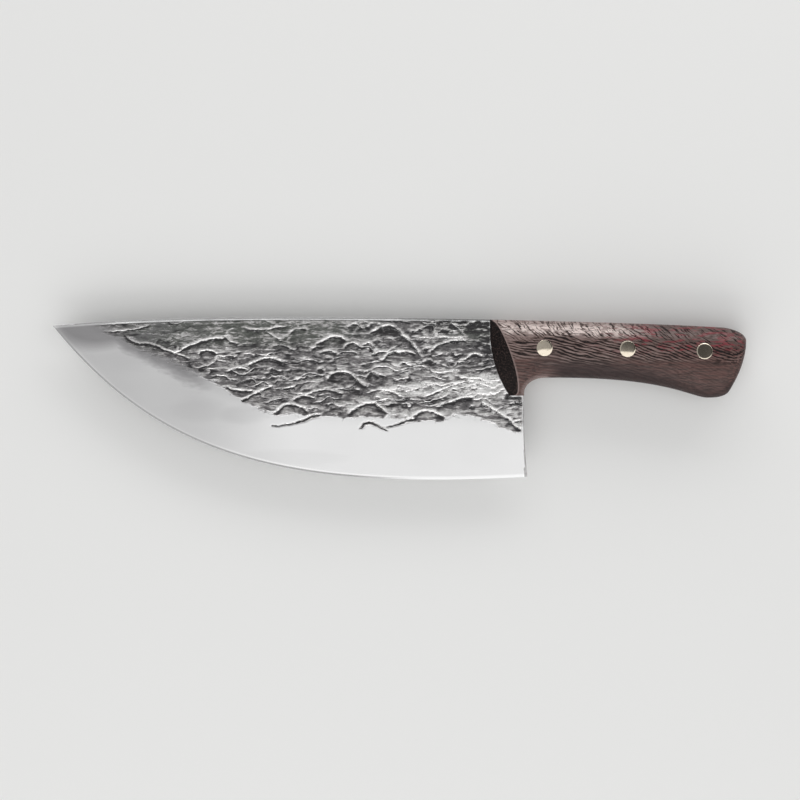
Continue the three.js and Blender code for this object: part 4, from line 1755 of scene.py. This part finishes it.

        # How light the hammered steel is, from forge scale to burnished metal; painted shade darkens
        # the hollow under each crest, and a painted highlight brightens the rise up to it.
        worn = self.patches(g, origin, self.worn) * g.step(streak, 0.26, 0.48, 0.25, 1.0)
        scaled = self.patches(g, origin, self.scaled) * g.step(streak, 0.66, 0.46)
        thin = g.step(abs(wisp - 0.5), 0.030, 0.004) * g.step(streak, 0.42, 0.60)
        # Painted highlight: lighter on the rise just above each crest.
        slope = g.step(line, -1.9, -0.10) * g.step(line, 0.15, 0.0)
        specks = g.step(g.noise(where, 1.3, 2.0, 0.6), 0.44, 0.36) * worn
        # Painted shade in the hollow just below each crest.
        scale_and_shade = g.attribute("scale_and_shade") * g.total(1.0, (nearly, -0.55))
        tone = g.total(
            0.22, (raised, 9.0), (slope * strength, 0.58), (streak - 0.5, 1.3),
            (g.step(streak, 0.50, 0.62), 0.28), (thin, 0.70), (fine - 0.5, 1.1),
            (patch - 0.5, 1.1), (sand - 0.5, 0.9), (worn, 1.05), (specks, -0.8),
            (scaled, -0.75), (nearly, 0.35), (scale_and_shade, -0.75),
        )
        base = g.colour(calm, self.middle, self.calm)
        base = g.colour(g.step(tone, 0.40, -0.25), base, self.scale_and_shade)
        base = g.colour(g.step(tone, 0.45, 1.10), base, self.light)
        base = g.colour(g.step(tone, 1.05, 2.0), base, self.crest)

        # The line along each fold's crest: burnished, and brightened further as a painted highlight.
        width = g.total(0.07, (strength, 0.14)) * g.step(streak, 0.34, 0.66, 0.65, 1.45)
        crest = g.step(abs(line) / width, 1.45, 0.30) * g.step(strength, 0.12, 0.70)
        crest = crest * g.step(fine, 0.34, 0.58, 0.20, 1.0) * g.step(patch, 0.34, 0.60, 0.55, 1.0)
        crest = crest * g.total(1.0, (nearly, -0.7))
        base = g.colour(crest, base, self.crest)

        # The polished bevel: painted shade in soft dark patches, growing towards the tip and falling
        # below the hammered boundary by the tip; a painted highlight along the sharpened edge, away
        # from the tip, and a grey strip at the very edge over the front part.
        drift = g.noise(g.millimetres((0.03, 0.05, 0.05)), 1.0)
        painted_bevel_shade = g.total(self.patches(g, origin, self.bevel_shade_patches), (drift - 0.5, 0.14))
        painted_bevel_shade = painted_bevel_shade + g.step(to_heel, -98.0, -150.0, 0.0, 0.38)
        shade = g.step(proud, 0.62, 0.0) * g.step(to_heel, -126.0, -154.0)
        # Painted highlight along the sharpened edge.
        glint = g.step(from_edge, 1.9, 0.9) * g.step(to_heel, -150.0, -95.0, 0.0, 0.8)
        grey = g.step(from_edge, 0.95, 0.45) * g.step(to_heel, -42.0, -80.0)
        ground = g.colour(g.larger(painted_bevel_shade, shade), self.bevel, self.dark_grind_and_shade)
        ground = g.colour(glint, ground, self.painted_highlight)
        ground = g.colour(grey, ground, self.edge_grey)

        # The rim's grinding marks, and a painted highlight along the corner of the spine.
        rim = g.step(to_rim, 0.50, 0.28)
        marks = g.noise(g.millimetres((0.07, 0.07, 3.2)), 1.0, 3.0, 0.65)
        side = g.colour(g.step(marks, 0.34, 0.62), self.dark_grind_and_shade, self.rim)
        side = g.colour(g.step(patch, 0.40, 0.62, 0.0, 0.45), side, self.dark_grind_and_shade)
        # Painted highlight along the spine's corner, absent near the heel and fainter at the tip.
        spine_highlight = g.step(to_rim, 1.5, 0.7) * g.step(to_rim, 0.0, 0.02)
        spine_highlight = spine_highlight * g.step(to_heel, -40.0, -66.0) * g.step(to_heel, -202.0, -170.0, 0.35, 1.0)
        spine_highlight = spine_highlight * g.step(streak, 0.30, 0.46, 0.75, 1.0)
        clear = g.larger(polished, rim)
        base = g.colour(clear, base, ground)
        base = g.colour(rim, base, side)
        base = g.colour(spine_highlight, base, self.painted_highlight)

        bright = g.larger(clear, spine_highlight)
        lines = g.noise(g.millimetres((0.05, 5.0, 1.0)), 1.0, 2.0, 0.7)
        rough = g.total(g.step(tone, 0.1, 1.0, 0.40, 0.30), (crest, -0.08))
        rough = g.between(rough, g.total(0.19, (lines, 0.08)), bright)
        drop = g.step(line, -0.16, 0.20) * strength
        relief = g.total(fine * 0.055, (sand, 0.025), (streak, 0.26), (drop, -0.16))
        relief = relief * (1.0 - bright) * g.step(to_rim, 0.9, 1.9)
        relief = g.total(relief, (lines * bright, 0.0012))
        return g.surface(base_color=base, metallic=1.0, roughness=rough, normal=g.bump(relief))


@dataclass(frozen=True)
class Wenge:
    """Oiled wenge: dark and pale layers cut by the crown, long pores and dark end grain."""

    name: str
    layers: tuple[float, float, float]
    seed: float
    calm_depths: tuple[float, float] = (18.5, 13.5)
    specular: float = 0.22
    dark: Colour = (0.009, 0.0045, 0.0045, 1)
    middle: Colour = (0.098, 0.062, 0.054, 1)
    pale: Colour = (0.29, 0.215, 0.200, 1)
    # Painted sheen on the figure along the spine.
    glow: Colour = (0.80, 0.68, 0.64, 1)
    warm: Colour = (0.128, 0.066, 0.058, 1)
    red: Colour = (0.22, 0.036, 0.046, 1)
    low: Colour = (0.066, 0.042, 0.037, 1)
    # Painted shade colour for the underside.
    under: Colour = (0.020, 0.0105, 0.0105, 1)
    end: Colour = (0.0045, 0.0025, 0.0025, 1)

    def streaks(self, g: Graph, along: float, across: float, detail: float = 2.0,
                roughness: float = 0.6, lean: float = 0.0) -> Signal:
        """Noise that is drawn out along the handle.

        Args:
            g: the wood's graph.
            along: its cycles to a millimetre along the handle.
            across: the same across the handle.
            detail: how many finer layers it has.
            roughness: how strong they are.
            lean: how far it is turned, in radians.

        Returns:
            The noise.
        """
        shift = (self.seed, 0.7 * self.seed, 0.0)
        where = g.millimetres((along, across, across), (0, 0, lean), shift)
        return g.noise(where, 1.0, detail, roughness)

    def make(self, origin: Vector) -> bpy.types.Material:
        """Builds the wood's material.

        Args:
            origin: the plan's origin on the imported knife, in metres.

        Returns:
            The material.
        """
        g = Graph.named(self.name)
        shift = (g.millimetres(), [value / MM for value in origin])
        place = g.node("ShaderNodeVectorMath", shift, operation="SUBTRACT").outputs[0]
        below, along, to_fillet, behind_front = (
            g.attribute(name) for name in ("below_spine", "along", "to_fillet", "behind_front")
        )
        warp = self.streaks(g, 0.035, 0.10, 2.0, 0.5)
        flutter = self.streaks(g, 0.30, 0.9, 3.0)
        swell = self.streaks(g, 0.05, 0.10)
        fibre = self.streaks(g, 0.30, 6.0)
        broken = self.streaks(g, 0.16, 1.3, 2.0, 0.65)

        # The tree's layers, as the crown cuts them.
        dot = g.node("ShaderNodeVectorMath", (place, self.layers), operation="DOT_PRODUCT")
        level = g.total(Signal(g, dot.outputs["Value"]), (warp, 5.0), (flutter, 0.9))
        bands = g.noise(g.vector(level, self.seed), 0.9, 2.0, 0.6)
        wave = g.sums("SINE", g.total(level * 6.4, (bands, 11.0)))

        # Long strokes over the middle of the scale.
        slant = g.total(0.13, (along, 0.0016)) * along
        stroke = g.total(below - slant, (swell, 4.5), (flutter, 0.45))
        uneven = g.noise(g.vector(stroke * 0.55, along * 0.06, self.seed), 1.0)
        stroke = g.sums("SINE", g.total(stroke * 4.7, (uneven, 9.0)))
        wave = g.between(wave, stroke, g.step(along, 70.0, 90.0, 0.95, 0.40))

        # Short curls that lean back from the spine.
        curl = along * 0.82 - g.total(0.57, (below, 0.06)) * below
        curl = g.total(curl, (swell, 8.0), (flutter, 0.9))
        curl = g.noise(g.vector(curl * 1.15, below * 0.26, self.seed), 1.0, 2.0, 0.55)
        high = g.total(below, (flutter - 0.5, 6.0), (swell - 0.5, 12.0))
        high = g.step(high, 9.5, 5.5)
        wave = g.between(wave, g.step(curl, 0.36, 0.54, -1.0, 1.0), high)

        # How light each fibre is, and where the dark layers show as ink.
        thread = g.noise(g.vector(level * 1.7, along * 0.10, self.seed), 1.0, 1.0)
        layer = g.total(0.54, (wave, g.total(0.44, (high, 0.02))))
        layer = g.total(layer, (thread - 0.5, (1.0 - high) * 1.1), (broken - 0.5, 1.55),
                        (fibre - 0.5, 0.8))
        strong = g.step(g.total(below, (warp - 0.5, 14.0)), *self.calm_depths, 0.20, 1.0)
        ink = g.step(g.total(layer - 0.10, (high, 0.10)), 0.40, 0.22) * strong
        faint = g.step(self.streaks(g, 0.40, 0.45), 0.60, 0.42, 0.34, 0.95)
        faint = g.larger(faint, g.step(along, 40.0, 62.0, 0.0, 0.95))
        ink = ink * g.total(1.0, (faint - 1.0, high))

        # The wood between the ink: warmer, redder and lower towards the butt, with painted shade along
        # the underside.
        body = g.colour(g.step(layer, 0.35, 1.25), self.middle, self.pale)
        body = g.colour(g.step(along, 35.0, 88.0, 0.0, 0.62), body, self.warm)
        body = g.colour(g.step(along, 32.0, 60.0, 0.0, 0.62) * high, body, self.low)
        stain = g.step(self.streaks(g, 0.16, 0.75, 3.0), 0.50, 0.62)
        stain = stain * g.step(below, 15.0, 9.0) * g.step(along, 20.0, 50.0, 0.0, 0.9)
        body = g.colour(stain, body, self.red)
        quiet = g.colour(g.step(self.streaks(g, 0.09, 1.5, 3.0), 0.40, 0.60), self.warm, self.low)
        body = g.colour(g.step(strong, 0.7, 0.2, 0.0, 0.8), body, quiet)
        reach = g.attribute("to_underside") + g.step(along, 55.0, 74.0, 0.0, 3.2)
        reach = g.total(reach, (broken - 0.5, 3.0), (warp - 0.5, 5.0))
        # Painted shade along the underside, kept off the fillet and narrowing towards the butt.
        underside_shade_mask = g.step(reach, 10.4, 2.0, 0.0, 0.84) * g.step(to_fillet, 0.4, 9.0)
        body = g.colour(underside_shade_mask, body, self.under)

        # A painted sheen: light mottled figure along the spine; and a painted highlight along the
        # fillet's rounded edge.
        top = g.step(below, 7.4, 4.6) * g.step(below, 0.6, 3.2, 0.35, 1.0)
        figure = self.streaks(g, 0.40, 0.75, lean=0.6)
        painted_sheen = top * g.step(figure, 0.38, 0.56, 0.22, 1.0) * g.step(layer, 0.34, 0.72)
        painted_sheen = painted_sheen * g.step(along, 58.0, 32.0, 0.12, 1.0)
        body = g.colour(painted_sheen, body, self.glow)
        # Painted highlight along the fillet's rounded edge.
        body = g.colour(g.step(to_fillet, 2.2, 0.5, 0.0, 0.6), body, self.pale)

        # Ink, pores, a painted highlight along the crease of the front, and end grain.
        pore = g.step(self.streaks(g, 0.24, 3.6, 1.0, 0.4), 0.61, 0.69)
        wood = g.colour(pore * 0.7, g.colour(ink, body, self.dark), self.dark)
        speck = g.noise(place, 1.9, 2.0, 0.7)
        front = g.step(behind_front, 0.42, 0.26)
        # Painted highlight just behind the crease of the front face.
        wood = g.colour(g.step(behind_front, 1.3, 0.45, 0.0, 0.75), wood, self.pale)
        wood = g.colour(front, wood, g.colour(g.step(speck, 0.50, 0.68), self.end, self.low))
        at_butt = g.step(g.attribute("to_butt"), 2.4, 0.6, 0.0, 0.6) * g.step(speck, 0.6, 0.45)
        wood = g.colour(at_butt, wood, self.dark)

        rough = g.total(0.42, (ink, 0.14), (painted_sheen, -0.08), (front, 0.30))
        relief = g.total(layer * 0.035, (fibre, 0.03), (pore, -0.07), (figure * top, 0.25))
        return g.surface(base_color=wood, roughness=rough, normal=g.bump(relief, 0.9),
                         specular_ior_level=self.specular)


@dataclass(frozen=True)
class RivetBrass:
    """Pale brass ground flush and polished, with fine scratches and slight tarnish."""

    clean: Colour = (0.95, 0.85, 0.70, 1)
    tarnished: Colour = (0.76, 0.65, 0.50, 1)

    def make(self) -> bpy.types.Material:
        """Builds the brass's material.

        Returns:
            The material.
        """
        g = Graph.named("rivet_brass")
        cloud = g.noise(g.millimetres(), 0.7, 3.0, 0.65)
        scratch = g.noise(g.millimetres((0.5, 9.0, 1.0), turn=(0, 0, 0.5)), 1.0, 2.0, 0.7)
        base = g.colour(g.step(cloud, 0.50, 0.85), self.clean, self.tarnished)
        rough = g.total(0.06, (scratch, 0.06), (cloud, 0.04))
        return g.surface(base_color=base, metallic=1.0, roughness=rough,
                         normal=g.bump(scratch * 0.0012))


def dress(piece: bpy.types.Object, material: bpy.types.Material) -> None:
    """Gives a piece one material."""
    piece.data.materials.clear()
    piece.data.materials.append(material)


# ---- Studio --------------------------------------------------------------------------------


@dataclass(frozen=True)
class Softbox:
    """A soft lamp that faces the knife."""

    name: str
    size: tuple[float, float]
    place: tuple[float, float, float]
    glow: float

    def hang(self) -> None:
        """Hangs the lamp, as bright as its glow says whatever its size."""
        lamp = bpy.data.lights.new(self.name, "AREA")
        lamp.shape = "RECTANGLE"
        lamp.size, lamp.size_y = self.size
        lamp.energy = self.glow * math.pi * self.size[0] * self.size[1]
        holder = bpy.data.objects.new(self.name, lamp)
        holder.location = self.place
        holder.rotation_euler = Vector(self.place).to_track_quat("Z", "Y").to_euler()
        bpy.context.scene.collection.objects.link(holder)


@dataclass
class Studio:
    """Pale floor, soft light from the edge's side and a camera straight above."""

    lens: float = 250.0
    frame_width: float = 0.352
    aim: tuple[float, float] = (0.0003, -0.0007)
    focus_height: float = 0.0125
    sensor: float = 36.0
    floor_size: float = 12.0
    floor_colour: Colour = (0.86, 0.86, 0.85, 1)
    sky_lean: float = -0.45
    sky_edge: tuple[float, float] = (-0.04, 0.04)
    sky_values: tuple[float, float] = (1.0, 0.36)
    sky_dim: tuple[float, float, float, float] = (0.010, 0.045, 1.0, 0.16)
    overhead: tuple[float, float] = (0.35, 0.72)
    around: float = 0.95
    horizon: tuple[float, float, float, float] = (-0.55, 0.15, 0.80, 1.0)
    flag: float = 0.15
    flag_edges: tuple[float, float, float, float] = (0.45, 0.80, 0.08, 0.22)
    lamps: tuple[Softbox, ...] = (
        Softbox("key", (1.6, 0.7), (-0.10, -1.00, 0.60), 1.4),
        Softbox("strip", (1.4, 0.36), (0.20, 0.95, 0.40), 2.4),
    )

    def lay_floor(self) -> bpy.types.Object:
        """Lays the floor under the knife.

        Returns:
            The floor.
        """
        mesh = bmesh.new()
        bmesh.ops.create_grid(mesh, x_segments=8, y_segments=8, size=self.floor_size / 2)
        data = bpy.data.meshes.new("studio_floor")
        mesh.to_mesh(data)
        mesh.free()
        floor = bpy.data.objects.new("studio_floor", data)
        bpy.context.scene.collection.objects.link(floor)
        dress(floor, Graph.named("studio_floor").surface(base_color=self.floor_colour, roughness=0.9))
        return floor

    def light_world(self) -> None:
        """Lights the knife from all round, with a dark half overhead and a dark flag."""
        world = bpy.data.worlds.new("studio")
        bpy.context.scene.world = world
        g = Graph(world)
        east, north, up = g.split(g.node("ShaderNodeTexCoord").outputs["Generated"])
        dark = g.step(east, *self.sky_dim) * self.sky_values[1]
        lit = g.step(g.total(north, (east, self.sky_lean)), *self.sky_edge, 1.0, 0.0)
        sky = (self.sky_values[0] - dark) * lit + dark
        flagged = g.step(east * -1.0, *self.flag_edges[:2]) * g.step(up, *self.flag_edges[2:])
        side = g.total(self.around, (flagged, self.flag - self.around))
        side = side * g.step(north, *self.horizon)
        strength = g.between(side, sky, g.step(up, *self.overhead))
        background = g.tree.nodes["Background"]
        g.put(background.inputs["Strength"], strength)
        g.put(background.inputs["Color"], (1, 1, 1, 1))

    def add_camera(self) -> None:
        """Hangs the camera over the knife, with the spine at the top."""
        camera = bpy.data.cameras.new("camera")
        camera.lens = self.lens
        camera.sensor_width = self.sensor
        camera.clip_start = 0.01
        camera.dof.use_dof = False
        holder = bpy.data.objects.new("camera", camera)
        away = self.frame_width * self.lens / self.sensor
        holder.location = (*self.aim, self.focus_height + away)
        bpy.context.scene.collection.objects.link(holder)
        bpy.context.scene.camera = holder

    def build(self) -> None:
        """Sets up the whole studio."""
        self.lay_floor()
        self.light_world()
        for lamp in self.lamps:
            lamp.hang()
        self.add_camera()
        bpy.context.scene.view_settings.view_transform = "Standard"


# ---- Knife ---------------------------------------------------------------------------------


@dataclass
class Knife:
    """The whole knife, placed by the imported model."""

    record: dict
    outline: Outline = field(default_factory=Outline)
    steel: Steel = field(default_factory=Steel)
    rivet_front: float = 7.3
    rivet_rear_inset: float = 18.6
    rivets: tuple[tuple[str, float, float], ...] = (
        ("front", 0.0, 13.7), ("middle", 0.519, 14.1), ("rear", 1.0, 15.1),
    )

    def offset(self) -> Vector:
        """Where the plan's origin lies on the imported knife, in metres.

        Returns:
            The place.
        """
        low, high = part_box("blade")
        top = float(self.outline.spine()[:, 1].max())
        return Vector((
            low[0] + self.outline.blade_length * MM,
            high[1] - top * MM,
            (low[2] + high[2]) / 2,
        ))

    def rivet_places(self) -> dict[str, tuple[float, float]]:
        """The rivets' places on the plan.

        Returns:
            The x and y of each rivet, by its name.
        """
        last = self.outline.handle_reach - self.rivet_rear_inset
        return {
            name: (self.rivet_front + share * (last - self.rivet_front), -drop)
            for name, share, drop in self.rivets
        }

    def settle(self, piece: bpy.types.Object, node: str, material: bpy.types.Material) -> None:
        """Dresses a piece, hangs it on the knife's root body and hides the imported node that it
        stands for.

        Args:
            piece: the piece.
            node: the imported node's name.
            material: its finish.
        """
        dress(piece, material)
        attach(piece, "root")
        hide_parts(node)
        LOG.info("%s: %d faces", piece.name, len(piece.data.polygons))

    def build(self) -> None:
        """Builds every piece of the knife."""
        offset = self.offset()
        crown = CrownShape(self.outline)
        places = self.rivet_places()
        holes = list(places.values())
        lowest = (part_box("blade")[0][1] - offset.y) / MM
        blade = Blade(self.outline, self.steel, crown, offset, lowest)
        self.settle(blade.build(holes), "blade", ForgedSteel().make(offset))
        woods = {
            Side.LEFT: Wenge("left_wenge", (0.21, 0.72, 0.66), 3.0),
            Side.RIGHT: Wenge("right_wenge", (-0.16, 0.80, -0.58), 17.0),
        }
        for side, wood in woods.items():
            scale = HandleScale(crown, side, offset)
            name = side.name.lower()
            self.settle(scale.build(f"{name}_wenge_scale", holes), f"{name}_scale",
                        wood.make(offset))
        brass = RivetBrass().make()
        for name, place in places.items():
            for half in Half:
                rivet = RivetHalf(crown, place, half, offset)
                node = f"{name}_rivet_{half.value}"
                self.settle(rivet.build(f"{node}_brass"), node, brass)


def main() -> None:
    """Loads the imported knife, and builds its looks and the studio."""
    logging.basicConfig(level=logging.INFO, format="%(name)s %(message)s")
    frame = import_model()
    Studio().build()
    Knife(frame["record"]).build()


if __name__ == "__main__":
    main()
